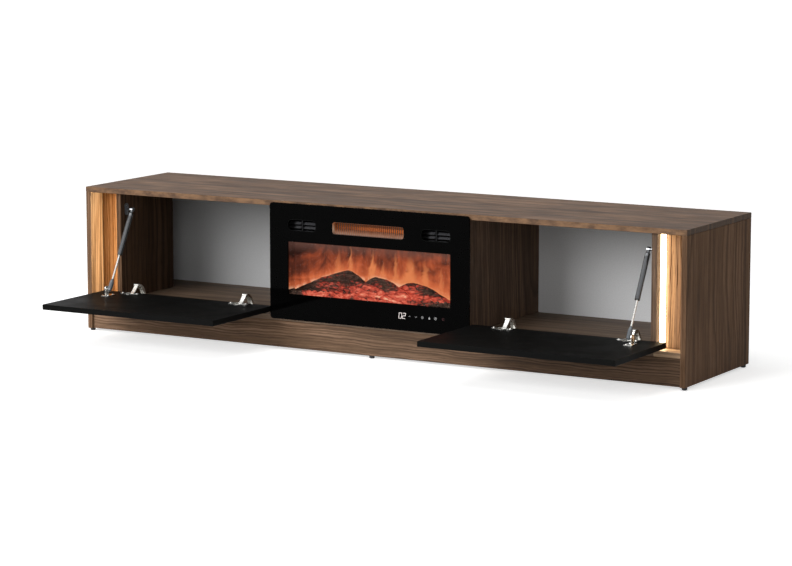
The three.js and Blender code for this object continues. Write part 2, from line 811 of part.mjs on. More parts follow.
// One door with its hinge cups and strut bracket, drawn about its pivot with the door open
function door(side) {
  const { label, sign } = side;
  const group = new THREE.Group();
  group.position.set(0, pivotBack, pivotLift);
  const xs = mirrored(sign, doorInner, doorOuter);
  const panel = boardBetween(`${label}_door`, xs, [pivotAboveEdge - doorHeight, pivotAboveEdge],
    [-pivotBehindFace, doorInside], 'blackLacquer');
  const boreLow = doorInside - cupDepth - seatGap;
  const boreTop = doorInside + cutOverrun;
  drill(panel, hingePlaces.map(({ x }) => roundBar(cupRadius + seatGap, boreTop - boreLow, fineSides)
    .rotateX(Math.PI / 2).translate(sign * x, cupCentre, (boreTop + boreLow) / 2)));
  group.add(panel, strutDoorPlate(side));
  for (const { place, x } of hingePlaces) {
    const cup = node(`${label}_${place}_hinge_cup`, hingeCup(), 'nickel');
    cup.position.x = sign * x;
    group.add(cup);
  }
  return group;
}

// Insert front
const glassBack = glassThickness - glassProud;
const mountFace = glassBack + seatGap;
const windowWidth = glassWidth - 2 * windowInset;
const slotWidth = windowWidth - 2 * slotInset;
const slotCentre = glassHeight - slotDrop;
const windowHeight = slotCentre - slotHeight / 2 - windowTopGap - windowLift;
const ventOffset = windowWidth / 2 - ventInset;
const housingTop = glassHeight - housingInset;
const innerHalf = housingHalf - housingWall;
const innerFloor = housingInset + housingWall;
const innerTop = housingTop - housingWall;
const shelfTop = innerTop - chamberHeight;
const shelfLow = shelfTop - housingWall;
const innerBack = housingDepth - housingWall;
const spindleLift = windowLift + spindleRise;
const controlCentre = innerHalf - controlInset - controlLength / 2;
const reflectorLength = slotWidth - reflectorShort;
const wheelLength = reflectorLength - wheelShort;

function frontGlass() {
  const centre = glassHeight / 2;
  const holes = [
    shift(roundedPoints(windowWidth, windowHeight, windowCorner), 0, windowLift + windowHeight / 2 - centre),
    shift(roundedPoints(slotWidth, slotHeight, slotCorner), 0, slotCentre - centre),
  ];
  for (const { sign } of sides) {
    const opening = roundedPoints(ventWidth, ventHeight, ventCorner);
    holes.push(shift(opening, sign * ventOffset, slotCentre - centre));
  }
  const plate = facing(roundedPoints(glassWidth, glassHeight, glassCorner), glassThickness, holes);
  return node('front_glass', plate.translate(0, -glassProud, centre), 'blackGlass');
}

function windowPane() {
  const pane = facing(roundedPoints(windowWidth + 2 * paneLap, windowHeight + 2 * paneLap, windowCorner),
    paneThickness);
  return node('window_pane', pane.translate(0, mountFace, windowLift + windowHeight / 2), 'clearGlass');
}

// Grille insert in the glass: rim, two tilted slats and one upright rib
function vent({ label, sign }) {
  const wide = ventWidth - 2 * seatGap;
  const tall = ventHeight - 2 * seatGap;
  const corner = ventCorner - seatGap;
  const hole = roundedPoints(wide - 2 * ventRim, tall - 2 * ventRim, corner - ventRim);
  const rim = facing(roundedPoints(wide, tall, corner), ventDepth, [hole]);
  const pieces = [rim];
  const slatRise = tall / 6;
  for (const turn of [-1, 1]) {
    const slat = new THREE.BoxGeometry(wide - ventRim, ventSlatChord, ventSlat).rotateX(ventSlatTilt);
    pieces.push(slat.translate(0, ventDepth / 2, turn * slatRise));
  }
  const ribTall = tall - ventRim;
  pieces.push(new THREE.BoxGeometry(ventRib, ventDepth / 2, ribTall).translate(0, ventDepth / 2, 0));
  const geometry = join(pieces).translate(sign * ventOffset, ventProud - glassProud, slotCentre);
  return node(`${label}_vent`, geometry, 'blackPlastic');
}

// Gland for the supply lead on the housing's back, and the way through it
function cableGland() {
  const profile = [[0, -housingWall], [glandRadius, -housingWall], [glandRadius, glandCollar],
    [glandRadius * 3 / 4, glandCollar], [glandRadius / 2, glandLength], [0, glandLength]];
  return turned(profile).translate(-glandOffset, housingDepth, glandLift);
}

function glandWay() {
  const way = roundBar(glandBore, 2 * (glandLength + cutOverrun));
  return way.translate(-glandOffset, housingDepth, glandLift);
}

// Folded sheet housing: walls, shelf under the heater, front flange, bearing seats
function housing() {
  const shell = boxBetween([-housingHalf, housingHalf], [mountFace, housingDepth], [housingInset, housingTop]);
  const rimWidth = glassWidth - 2 * flangeInset;
  const rimHeight = glassHeight - 2 * flangeInset;
  const flange = facing(roundedPoints(rimWidth, rimHeight, glassCorner), flangeThickness)
    .translate(0, mountFace, glassHeight / 2);
  const innerXs = [-innerHalf, innerHalf];
  const innerYs = [mountFace - cutOverrun, innerBack];
  const fire = boxBetween(innerXs, innerYs, [innerFloor, shelfLow]);
  const chamber = boxBetween(innerXs, innerYs, [shelfTop, innerTop]);
  const hollow = cut(join([shell, flange]), [fire, chamber]);
  const bush = roundBar(bushRadius, bushLength).rotateZ(Math.PI / 2)
    .translate(-innerHalf + bushLength / 2, spindleBack, spindleLift);
  const bushBore = roundBar(spindleRadius + seatGap, bushLength + 2 * housingWall).rotateZ(Math.PI / 2)
    .translate(-innerHalf + bushLength, spindleBack, spindleLift);
  const wheelLift = (shelfTop + innerTop) / 2;
  const pedestalX = -(wheelLength / 2 + journal);
  const pedestal = boxBetween([pedestalX - pedestalThickness, pedestalX],
    [wheelBack - pedestalWidth / 2, wheelBack + pedestalWidth / 2], [shelfLow, wheelLift + pedestalHead]);
  const pedestalBore = roundBar(wheelHub + seatGap, 2 * journalEngage).rotateZ(Math.PI / 2)
    .translate(pedestalX, wheelBack, wheelLift);
  const body = cut(join([hollow, bush, pedestal, cableGland()]), [bushBore, pedestalBore, glandWay()]);
  return node('insert_housing', body, 'sheetSteel');
}

// Moulded log set: a slab with coals along its front and three logs standing on its ledge
function coalRise(x, y) {
  const fade = Math.max(0, 1 - Math.pow((y - bedFront) / coalReach, 2));
  const pace = 2 * Math.PI / coalPitch;
  const wave = Math.sin(x * pace) * Math.cos(y * pace * 2 + x * pace / 3);
  const mix = Math.sin(x * pace * coalMix + coalPhase) / 2;
  return fade * coalHeight * (1 / 2 + (wave + mix) / 3);
}

function emberBed() {
  const half = innerHalf - seatGap;
  const back = screenFront - seatGap;
  const positions = [];
  for (let i = 0; i <= bedColumns; i += 1) {
    const x = half * (2 * i / bedColumns - 1);
    const end = i === 0 || i === bedColumns;
    positions.push(x, bedFront, bedLedge - bedThickness);
    for (let j = 0; j <= bedRows; j += 1) {
      const y = bedFront + coalReach * j / bedRows;
      positions.push(x, y, bedLedge + (end ? 0 : coalRise(x, y)));
    }
    positions.push(x, back, bedLedge, x, back, bedLedge - bedThickness);
  }
  return loft(positions, bedColumns);
}

function loft(positions, rows) {
  const columns = positions.length / 3 / (rows + 1) - 1;
  const geometry = new THREE.BufferGeometry();
  geometry.setAttribute('position', new THREE.Float32BufferAttribute(positions, 3));
  geometry.setIndex(loftFaces(rows, columns));
  return geometry;
}

// Shares of the window's width for a log's two ends and its peak, and of its height for all three
const logShares = [
  { row: 1, ends: [-0.535, -0.005], peak: -0.185, heightShares: [0.07, 0.47, 0.2], phase: 0.4 },
  { row: 0, ends: [-0.16, 0.225], peak: 0.005, heightShares: [0.12, 0.43, 0.2], phase: 1.9 },
  { row: 1, ends: [0.03, 0.46], peak: 0.205, heightShares: [0.3, 0.36, 0.08], phase: 3.1 },
];

function logHeight(share, ends, peak, [first, high, last]) {
  if (share < peak) {
    return first + (high - first) * Math.pow((share - ends[0]) / (peak - ends[0]), climbPower);
  }
  return last + (high - last) * (1 - Math.pow((share - peak) / (ends[1] - peak), fallPower));
}

// A log is a row of arched sections with bark ridges, closed at both ends and underneath
function log({ row, ends, peak, heightShares, phase }) {
  const positions = [];
  const base = bedLedge - logSink;
  const centre = logRowFront + logDepth / 2 + row * logSpacing;
  for (let i = 0; i <= barkStations; i += 1) {
    const share = ends[0] + (ends[1] - ends[0]) * i / barkStations;
    const rise = logSink + windowHeight * logHeight(share, ends, peak, heightShares);
    for (let j = 0; j <= barkArcs; j += 1) {
      const angle = Math.PI * j / barkArcs;
      const bark = Math.sin(angle * barkWaves + phase + i * barkTwist);
      const knot = Math.sin(i * knotTwist + phase * 2) * Math.sin(angle * knotWaves);
      const ridge = barkRidge * (bark + knot) * Math.sin(angle) / 2;
      const y = centre - Math.cos(angle) * (logDepth / 2 - barkRidge + ridge);
      positions.push(share * windowWidth, y, base + Math.pow(Math.sin(angle), archPower) * (rise + ridge));
    }
  }
  return loft(positions, barkStations);
}

// Faces of a loft whose sections are open arches: skin, underside and two end caps
function loftFaces(rows, columns) {
  const faces = [];
  const at = (i, j) => i * (columns + 1) + j;
  for (let i = 0; i < rows; i += 1) {
    for (let j = 0; j < columns; j += 1) {
      faces.push(at(i, j), at(i + 1, j), at(i + 1, j + 1));
      faces.push(at(i, j), at(i + 1, j + 1), at(i, j + 1));
    }
    faces.push(at(i, columns), at(i + 1, columns), at(i + 1, 0));
    faces.push(at(i, columns), at(i + 1, 0), at(i, 0));
  }
  for (let j = 1; j < columns; j += 1) {
    faces.push(at(0, 0), at(0, j), at(0, j + 1));
    faces.push(at(rows, 0), at(rows, j + 1), at(rows, j));
  }
  return faces;
}

function logSet() {
  return node('log_set', join([emberBed(), ...logShares.map(log)]), 'charred');
}

function flameScreen() {
  const wide = innerHalf - seatGap;
  const sheet = boxBetween([-wide, wide], [screenFront, screenFront + screenThickness],
    [bedLedge - bedThickness, shelfLow - seatGap]);
  return node('flame_screen', sheet, 'flameScreen');
}

// Turning rod behind the screen, with reflecting petals set round it in a helix
function flameSpindle() {
  const left = -innerHalf + bushLength / 2;
  const right = innerHalf - seatGap - spindleMotorLength + journalEngage;
  const pieces = [roundBar(spindleRadius, right - left, roundSides / 2).rotateZ(Math.PI / 2)
    .translate((left + right) / 2, 0, 0)];
  const room = 2 * (innerHalf - spindleMotorLength - bushLength) - petalPitch;
  const count = Math.floor(room / petalPitch);
  for (let i = 0; i <= count; i += 1) {
    const x = (i - count / 2) * petalPitch;
    const petal = new THREE.BoxGeometry(petalWidth, 2 * petalReach, petalThickness);
    pieces.push(petal.rotateY(petalLean).rotateX(i * petalTurn).translate(x, 0, 0));
  }
  const mesh = node('flame_spindle', join(pieces), 'polished');
  mesh.position.set(0, spindleBack, spindleLift);
  return mesh;
}

function spindleMotor() {
  const face = innerHalf - seatGap - spindleMotorLength;
  const body = turned([[0, 0], [spindleMotorRadius / 2, 0], [spindleMotorRadius / 2, motorCheekDepth],
    [spindleMotorRadius, motorCheekDepth], [spindleMotorRadius, spindleMotorLength],
    [0, spindleMotorLength]], fineSides).rotateZ(-Math.PI / 2);
  const bore = roundBar(spindleRadius + seatGap, 2 * journalEngage + 2 * seatGap).rotateZ(Math.PI / 2);
  const mesh = node('spindle_motor', cut(body, [bore]), 'greySteel');
  mesh.position.set(face, spindleBack, spindleLift);
  return mesh;
}

function lightBoard() {
  const low = innerFloor + seatGap;
  const level = low + standoff;
  const ys = [lightBoardBack - lightBoardWidth / 2, lightBoardBack + lightBoardWidth / 2];
  const half = innerHalf - lightBoardInset;
  const pieces = [boxBetween([-half, half], ys, [level, level + circuitThickness])];
  for (const turn of [-1, 0, 1]) {
    const post = roundBar(standoffRadius, standoff + circuitThickness / 2, roundSides / 2).rotateX(Math.PI / 2);
    pieces.push(post.translate(turn * (half - lightBoardWidth / 2), lightBoardBack,
      low + (standoff + circuitThickness / 2) / 2));
  }
  const count = Math.floor(half / ledPitch);
  for (let i = 0; i < count; i += 1) {
    const x = (i - (count - 1) / 2) * 2 * ledPitch;
    pieces.push(boxBetween([x - ledChip / 2, x + ledChip / 2],
      [lightBoardBack - ledChip / 2, lightBoardBack + ledChip / 2],
      [level + circuitThickness / 2, level + circuitThickness + ledChipHeight]));
  }
  return node('light_board', join(pieces), 'circuit');
}

// Touch keys and display board behind the glass
function controlBoard() {
  const xs = [controlCentre - controlLength / 2, controlCentre + controlLength / 2];
  const zs = [controlLift - controlHeight / 2, controlLift + controlHeight / 2];
  const back = mountFace + circuitThickness;
  const pieces = [boxBetween(xs, [mountFace, back], zs)];
  const displayX = controlCentre - displayOffset;
  pieces.push(boxBetween([displayX - displayWidth / 2, displayX + displayWidth / 2],
    [mountFace + circuitThickness / 2, back + displayDepth],
    [controlLift - displayHeight / 2, controlLift + displayHeight / 2]));
  const keys = Math.floor((controlLength / 2 + displayOffset - displayWidth) / keyPitch);
  for (let i = 1; i <= keys; i += 1) {
    const x = displayX + displayWidth / 2 + (i - 1 / 2) * keyPitch;
    pieces.push(boxBetween([x - keySize / 2, x + keySize / 2],
      [mountFace + circuitThickness / 2, back + keyDepth],
      [controlLift - keySize / 2, controlLift + keySize / 2]));
  }
  return node('control_board', join(pieces), 'circuit');
}

// Wire guard in front of the heater
function heaterGuard() {
  const wide = slotWidth + 2 * guardLap;
  const tall = slotHeight + 2 * guardLap;
  const count = Math.floor((wide - 2 * guardBorder) / guardPitch);
  const slots = [];
  for (let i = 0; i < count; i += 1) {
    const slot = new THREE.BoxGeometry(guardPitch - guardWire, 3 * guardThickness, tall - 2 * guardBorder);
    slots.push(slot.translate((i - (count - 1) / 2) * guardPitch, 0, 0));
  }
  const plate = cut(facing(roundedPoints(wide, tall, slotCorner), guardThickness), slots);
  return node('heater_guard', plate.translate(0, guardBack, slotCentre), 'greySteel');
}

function heaterTube() {
  const half = (reflectorLength + 2 * heaterCapLength) / 2;
  const shaft = half - heaterCapLength;
  const profile = [[0, -half], [heaterCapRadius, -half], [heaterCapRadius, heaterCapLength / 3 - shaft],
    [heaterTubeRadius, heaterCapLength / 3 - shaft], [heaterTubeRadius, shaft - heaterCapLength / 3],
    [heaterCapRadius, shaft - heaterCapLength / 3], [heaterCapRadius, half], [0, half]];
  const mesh = node('quartz_tube', turned(profile).rotateZ(Math.PI / 2), 'quartz');
  mesh.position.set(0, heaterTubeBack, slotCentre);
  return mesh;
}

// Curved reflector between two cheeks that stand on the shelf and hold the tubes
function heaterReflector() {
  const half = reflectorHeight / 2;
  const curve = (inset) => {
    const points = [];
    for (let i = 0; i <= curveSteps; i += 1) {
      const turn = 2 * i / curveSteps - 1;
      const reach = reflectorDepth * (1 - turn * turn) + inset;
      points.push(new THREE.Vector2(heaterTubeBack - heaterTubeRadius + reach, turn * (half + inset)));
    }
    return points;
  };
  const sheet = across([...curve(0), ...curve(reflectorSheet).reverse()], reflectorLength);
  const pieces = [sheet];
  const floor = shelfTop + seatGap - slotCentre;
  for (const { sign } of sides) {
    const xs = mirrored(sign, reflectorLength / 2 - reflectorSheet / 2, reflectorLength / 2 + reflectorSheet);
    pieces.push(boxBetween(xs, [cheekFront, cheekFront + cheekDepth], [floor, half + reflectorSheet]));
  }
  const bore = roundBar(heaterCapRadius + seatGap, reflectorLength + 2 * heaterCapLength)
    .rotateZ(Math.PI / 2).translate(0, heaterTubeBack, 0);
  return node('heater_reflector', cut(join(pieces), [bore]).translate(0, 0, slotCentre), 'polished');
}

// Cross-flow wheel: three discs, a ring of tilted blades and a shaft
function blowerWheel() {
  const half = wheelLength / 2;
  const right = half + journal + journalEngage;
  const pieces = [roundBar(wheelHub, 2 * right, roundSides / 2).rotateZ(Math.PI / 2)];
  for (const turn of [-1, 0, 1]) {
    const disc = roundBar(wheelRadius, wheelDisc, fineSides).rotateZ(Math.PI / 2);
    pieces.push(disc.translate(turn * (half - wheelDisc / 2), 0, 0));
  }
  const ring = wheelRadius - wheelBladeChord / 2;
  const count = Math.floor(2 * Math.PI * ring / wheelBladePitch);
  for (let i = 0; i < count; i += 1) {
    const blade = new THREE.BoxGeometry(wheelLength - wheelDisc, wheelBladeChord - wheelBlade, wheelBlade);
    blade.rotateX(wheelBladeTilt).translate(0, ring - wheelBlade, 0);
    pieces.push(blade.rotateX(2 * Math.PI * i / count));
  }
  const mesh = node('blower_wheel', join(pieces), 'greySteel');
  mesh.position.set(0, wheelBack, (shelfTop + innerTop) / 2);
  return mesh;
}

function blowerMotor() {
  const face = wheelLength / 2 + journal;
  const lift = (shelfTop + innerTop) / 2;
  const can = roundBar(motorRadius, motorLength, fineSides).rotateZ(Math.PI / 2)
    .translate(face + motorLength / 2, wheelBack, lift);
  const bore = roundBar(wheelHub + seatGap, 2 * journalEngage + 2 * seatGap).rotateZ(Math.PI / 2)
    .translate(face, wheelBack, lift);
  const low = shelfTop + seatGap;
  const foot = boxBetween([face, face + motorLength],
    [wheelBack - motorFootWidth / 2, wheelBack + motorFootWidth / 2],
    [low, low + motorFootThickness]);
  const post = boxBetween([face + motorLength / 4, face + motorLength * 3 / 4],
    [wheelBack - motorFootWidth / 4, wheelBack + motorFootWidth / 4], [low, lift]);
  return node('blower_motor', cut(join([can, foot, post]), [bore]), 'blackPlastic');
}

function fireplace() {
  const group = new THREE.Group();
  group.position.set(0, 0, floorTop - glassDrop);
  group.add(frontGlass(), windowPane(), ...sides.map(vent), housing());
  group.add(logSet(), flameScreen(), flameSpindle(), spindleMotor(), lightBoard());
  group.add(heaterGuard(), heaterTube(), heaterReflector(), blowerWheel(), blowerMotor(), controlBoard());
  return group;
}

// The whole cabinet, its origin on the floor under the middle of its open footprint
const cabinet = new THREE.Group();
cabinet.position.set(0, (doorReach - cabinetDepth) / 2, glideHeight);
cabinet.add(carcass(), glides(), fireplace());
for (const side of sides) {
  cabinet.add(nicheLight(side), hinges(side), door(side), strut(side));
}

export default cabinet;
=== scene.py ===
import math

import bmesh
import bpy
from mathutils import Matrix, Vector, noise


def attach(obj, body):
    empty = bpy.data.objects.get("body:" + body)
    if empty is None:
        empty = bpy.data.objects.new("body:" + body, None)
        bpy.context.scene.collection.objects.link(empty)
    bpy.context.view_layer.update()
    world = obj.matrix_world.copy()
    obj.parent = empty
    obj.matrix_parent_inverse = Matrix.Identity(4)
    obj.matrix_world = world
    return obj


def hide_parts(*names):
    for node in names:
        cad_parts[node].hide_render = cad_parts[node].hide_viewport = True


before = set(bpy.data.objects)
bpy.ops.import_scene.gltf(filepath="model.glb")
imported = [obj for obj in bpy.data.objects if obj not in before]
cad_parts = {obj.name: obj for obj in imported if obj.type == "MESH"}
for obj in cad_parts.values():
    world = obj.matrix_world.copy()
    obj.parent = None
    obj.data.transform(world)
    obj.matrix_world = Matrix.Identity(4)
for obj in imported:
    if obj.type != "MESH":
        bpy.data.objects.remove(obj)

print("cabinet: frame loaded,", len(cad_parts), "nodes")
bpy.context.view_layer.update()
mm = 0.001
ends = {"left": -1, "right": 1}

# the fireplace front in the cabinet's frame, millimetres
front = {"glassFace": -72.25, "windowHalf": 271.5, "windowLow": 171.5, "windowHigh": 326.5}

# the script's words for the shader's sockets
sockets = {"colour": "Base Color", "rough": "Roughness", "metal": "Metallic", "alpha": "Alpha",
           "specular": "Specular IOR Level", "glow": "Emission Color", "glowStrength": "Emission Strength"}


def tone(code):
    parts = [int(code[i:i + 2], 16) / 255 for i in (1, 3, 5)]
    return (*[p / 12.92 if p <= 0.04045 else ((p + 0.055) / 1.055) ** 2.4 for p in parts], 1.0)


class Finish:
    # a material with its shader and short calls for the nodes in front of it

    def __init__(self, name, owner=None, shader="Principled BSDF", **looks):
        self.material = owner or bpy.data.materials.new(name)
        self.material.use_nodes = True
        self.tree = self.material.node_tree
        self.shader = self.tree.nodes[shader]
        self.shade(**looks)

    def node(self, kind, **settings):
        made = self.tree.nodes.new("ShaderNode" + kind)
        for key, value in settings.items():
            setattr(made, key, value)
        return made

    def feed(self, made, values):
        # a value, a colour code or another node's output for each input, by its name or number
        for key, value in values.items():
            socket = made.inputs[key]
            if isinstance(value, bpy.types.NodeSocket):
                self.tree.links.new(value, socket)
            else:
                socket.default_value = tone(value) if isinstance(value, str) else value
        return made

    def shade(self, **looks):
        self.feed(self.shader, {sockets[key]: value for key, value in looks.items()})
        return self.material

    def spot(self):
        return self.node("TexCoord").outputs["Object"]

    def sides(self):
        # where the surface lies along x, y and z, metres
        parts = self.feed(self.node("SeparateXYZ"), {0: self.spot()})
        return {axis: parts.outputs[index] for index, axis in enumerate("xyz")}

    def place(self, scale, shift=(0, 0, 0)):
        mapped = self.node("Mapping")
        return self.feed(mapped, {"Vector": self.spot(), "Scale": scale, "Location": shift}).outputs["Vector"]

    def grain(self, scale, detail=4.0, roughness=0.6, distortion=0.0, shift=(0, 0, 0)):
        # noise at one scale, at one scale for each axis, or read at another node's output
        if isinstance(scale, (int, float)):
            scale = (scale, scale, scale)
        vector = scale if isinstance(scale, bpy.types.NodeSocket) else self.place(scale, shift)
        made = self.node("TexNoise")
        self.feed(made, {"Vector": vector, "Scale": 1.0, "Detail": detail})
        return self.feed(made, {"Roughness": roughness, "Distortion": distortion}).outputs["Fac"]

    def ramp(self, value, stops):
        # a colour code or a grey level at each mark
        stops = list(stops)
        made = self.feed(self.node("ValToRGB"), {0: value})
        marks = made.color_ramp.elements
        while len(marks) < len(stops):
            marks.new(0.5)
        for mark, (position, shade) in zip(marks, stops):
            mark.position = position
            mark.color = tone(shade) if isinstance(shade, str) else (shade, shade, shade, 1)
        return made.outputs["Color"]

    def maths(self, kind, first, second=0.0):
        return self.feed(self.node("Math", operation=kind), {0: first, 1: second}).outputs[0]

    def total(self, value, *more):
        for other in more:
            value = self.maths("ADD", value, other)
        return value

    def times(self, value, *more):
        for other in more:
            value = self.maths("MULTIPLY", value, other)
        return value

    def minus(self, first, second):
        return self.maths("SUBTRACT", first, second)

    def swing(self, value, amount):
        # a noise about nought
        return self.times(self.minus(value, 0.5), amount)

    def span(self, value, low, high, start=0.0, end=1.0):
        made = self.node("MapRange", interpolation_type="SMOOTHSTEP")
        return self.feed(made, {0: value, 1: low, 2: high, 3: start, 4: end}).outputs[0]

    def blend(self, share, first, second, kind="MIX"):
        made = self.node("Mix", data_type="RGBA", blend_type=kind)
        return self.feed(made, {0: share, 6: first, 7: second}).outputs[2]

    def dimmed(self, colour, share, level):
        # times the level where the share is 1
        return self.blend(1.0, colour, self.ramp(share, ((0.0, 1.0), (1.0, level))), "MULTIPLY")

    def bump(self, height, strength, distance):
        made = self.node("Bump")
        self.feed(made, {"Height": height, "Strength": strength, "Distance": distance})
        self.feed(self.shader, {"Normal": made.outputs["Normal"]})


def paint(material, *nodes):
    for name in nodes:
        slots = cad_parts[name].data.materials
        slots.clear()
        slots.append(material)


# walnut veneer: growth rings of a log, cut by the face of the board
walnut = {
    "marks": (0.38, 0.62, 0.86), "ringUneven": 3.2, "shake": 0.9, "figure": 0.72, "fibre": 0.3, "patch": 0.2,
    "ringLine": ((0.0, 0.62), (0.3, 0.74), (0.62, 0.5), (0.84, 0.12), (0.93, 0.3), (1.0, 0.62)),
    "edgeTones": ("#4b382b", "#745840"), "edgeMarks": (0.36, 0.62), "frontEdge": (-0.0641, -0.0637, 1.0, 0.0),
    "endTones": ("#302114", "#58402b", "#85664a"), "endMarks": (0.42, 0.76, 1.0), "endFace": (0.9988, 0.9994),
    "depth": (-0.06, 0.3), "pores": ((0.34, 0.6), (0.46, 1.0)), "poreShade": 0.7, "roughness": (0.5, 0.68),
    "swayAcross": 2.2, "thickness": 0.8, "yearScale": 0.55, "patches": (0.3, 0.65), "faintest": 0.45,
    "chances": (0.0, 1.0, 0.35, 1.0), "bump": (0.12, 0.0004),
}
# noises: scale along the grain and across it, then detail, roughness, distortion and shift
grains = {
    "shake": (9.0, 45.0, 2.0), "streak": (2.6, 62.0, 4.0, 0.7), "fibre": (7.0, 420.0, 3.0),
    "pore": (34.0, 700.0, 2.0), "patch": (2.0, 9.0, 2.0, 0.6, 0.0, (3.1, 0.7, 1.9)),
    "dash": (8.0, 38.0, 2.0, 0.6, 0.0, (0.6, 1.1, 0.4)), "thin": (1.5, 110.0, 2.0, 0.6, 0.0, (0.7, 0.2, 0.5)),
    "fine": (2.0, 130.0, 2.0, 0.6, 0.0, (0.3, 0.9, 0.2)),
}
# centre and heart place the middle of the log, across the board and along it
commonBoard = {"along": "z", "across": "y", "centre": 0.1, "heart": 0.9, "tilt": 0.12, "ring": 0.01,
               "sway": 0.03, "swayScale": 3.0, "lines": 0.6, "sheen": 0.05,
               "tones": ("#2d1f16", "#523d2d", "#80634c")}
# what differs from it, and the nodes cut from each board
boards = {
    "walnutTop": {"nodes": ("top_panel", "rear_rail"), "along": "x", "heart": 2.6, "tilt": 0.03,
                  "ring": 0.012, "swayScale": 2.4, "lines": 0.5, "sheen": 0.12, "dashes": 0.55,
                  "edged": True},
    "walnutPlinth": {"nodes": ("front_plinth",), "along": "x", "across": "z", "centre": -0.05, "heart": 0.6,
                     "tilt": 0.02, "ring": 0.0085, "sway": 0.014, "swayScale": 5.0, "lines": 0.8,
                     "sheen": 0.12, "tones": ("#33251c", "#5f4937", "#8f725d"),
                     "ends": (-0.42, 0.1, 0.9, 0.62)},
    "walnutSide": {"nodes": ("left_side_panel", "right_side_panel"), "centre": 0.04, "heart": -0.25,
                   "tilt": 0.13, "ring": 0.0085, "swayScale": 3.2, "lines": 0.8, "sheen": 0.03,
                   "tones": ("#33241a", "#5d4634", "#8e6f58"), "litSpan": (0.9841, 0.9843, 1.0, 0.0)},
    # painted light: the compartment floors in lighter tones than the other walnut
    "walnutFloor": {"nodes": ("bottom_panel",), "along": "x", "centre": 0.12, "heart": 1.9, "tilt": 0.03,
                    "ring": 0.012, "swayScale": 2.4, "lines": 0.5, "sheen": 0.34,
                    "tones": ("#37291f", "#63503f", "#957d67"), "litSpan": (0.9, 0.901, 0.0, 1.0)},
    # painted shade: the left compartment's inner faces in darker tones, and darker deeper in
    "leftInside": {"nodes": ("left_outer_divider", "left_fireplace_divider"), "centre": 0.42, "fade": 0.42,
                   "tones": ("#2a1d14", "#4e3929", "#7b5f48")},
    # painted light: the right compartment's inner faces in lighter tones
    "rightInside": {"nodes": ("right_outer_divider", "right_fireplace_divider"), "centre": 0.36, "heart": 1.1,
                    "sheen": 0.1, "tones": ("#32261d", "#5a4739", "#8b7059")},
    "nicheWood": {"nodes": ("left_niche_back", "right_niche_back"), "across": "x", "centre": 0.0,
                  "tilt": 0.05, "ring": 0.009, "sway": 0.014, "swayScale": 5.0, "lines": 1.0,
                  "stripLightAndShade": True, "tones": ("#361e0d", "#784e2a", "#a3784b")},
}
# lit niches: spans of |x| and y in metres, and what differs from the left niche to the right one
niche = {
    "litTones": ("#503b29", "#9d8164", "#d6bd9f"), "litFigure": 0.6, "litLevel": 0.24, "litFine": 0.9,
    "front": (-0.0632, -0.0628), "back": (-0.001, 0.001, 1.0, 0.0), "stripLitTones": ("#1c1611", "#70675a"),
    "stripLitMarks": (0.45, 0.59), "leftStripLight": (0.905, 0.95, 0.42, 0.0), "rightStripLight": (0.905, 0.985, 0.62, 0.3),
    "halo": "#dcc0b0", "haloSpan": (0.909, 0.922, 0.3, 0.0), "corner": (0.964, 0.984), "cornerShade": 0.68,
    "leftToRight": (-0.1, 0.1), "lines": (0.6, 0.8), "thin": (0.3, 1.1),
}


def stretched(along, slow, fast):
    return tuple(slow if axis == along else fast for axis in "xyz")


def woodGrain(look, name, along):
    slow, fast, *more = grains[name]
    return look.grain(stretched(along, slow, fast), *more)


def ringCount(look, plan, sides):
    # growth rings from the middle of the log to this place, of uneven width
    along, across, ring = plan["along"], plan["across"], plan["ring"]
    third = "xyz".replace(along, "").replace(across, "")
    sway = look.grain(stretched(along, plan["swayScale"], walnut["swayAcross"]), 3.0, 0.45)
    shake = woodGrain(look, "shake", along)
    aside = look.total(sides[across], look.times(sway, plan["sway"] * 2),
                       look.times(shake, ring * walnut["shake"]))
    aside = look.minus(aside, plan["centre"] + plan["sway"])
    depth = look.times(look.minus(sides[along], plan["heart"]), plan["tilt"])
    spot = look.node("CombineXYZ")
    look.feed(spot, {"X": aside, "Y": depth, "Z": look.times(sides[third], walnut["thickness"])})
    radius = look.feed(look.node("VectorMath", operation="LENGTH"), {0: spot.outputs[0]})
    count = look.maths("DIVIDE", radius.outputs["Value"], ring)
    years = look.feed(look.node("CombineXYZ"), {"X": look.times(count, walnut["yearScale"])})
    uneven = look.grain(years.outputs[0], 2.0, 0.7)
    return look.total(count, look.times(uneven, walnut["ringUneven"]))


def litFaces(look, plan, sides, figure, colour):
    # painted light: the faces in the niche, in lighter tones as the light strip lights them, with fine
    # straight lines
    fine = look.swing(woodGrain(look, "fine", plan["along"]), niche["litFine"])
    fine = look.total(look.times(figure, niche["litFigure"]), niche["litLevel"], fine)
    inner = look.times(look.span(look.maths("ABSOLUTE", sides["x"]), *plan["litSpan"]),
                       look.span(sides["y"], *niche["front"]), look.span(sides["y"], *niche["back"]))
    return look.blend(inner, colour, look.ramp(fine, zip(walnut["marks"], niche["litTones"])))


def stripLightAndShade(look, sides, figure, colour):
    # painted light: paler towards the light strip, with a painted glow beside it; painted shade: darker in
    # the outer corner
    out = look.maths("ABSOLUTE", sides["x"])
    left, right = (look.span(out, *niche[key]) for key in ("leftStripLight", "rightStripLight"))
    share = look.span(sides["x"], *niche["leftToRight"], left, right)
    colour = look.blend(share, colour, look.ramp(figure, zip(niche["stripLitMarks"], niche["stripLitTones"])))
    colour = look.blend(look.span(out, *niche["haloSpan"]), colour, niche["halo"])
    return look.dimmed(colour, look.span(out, *niche["corner"]), niche["cornerShade"])


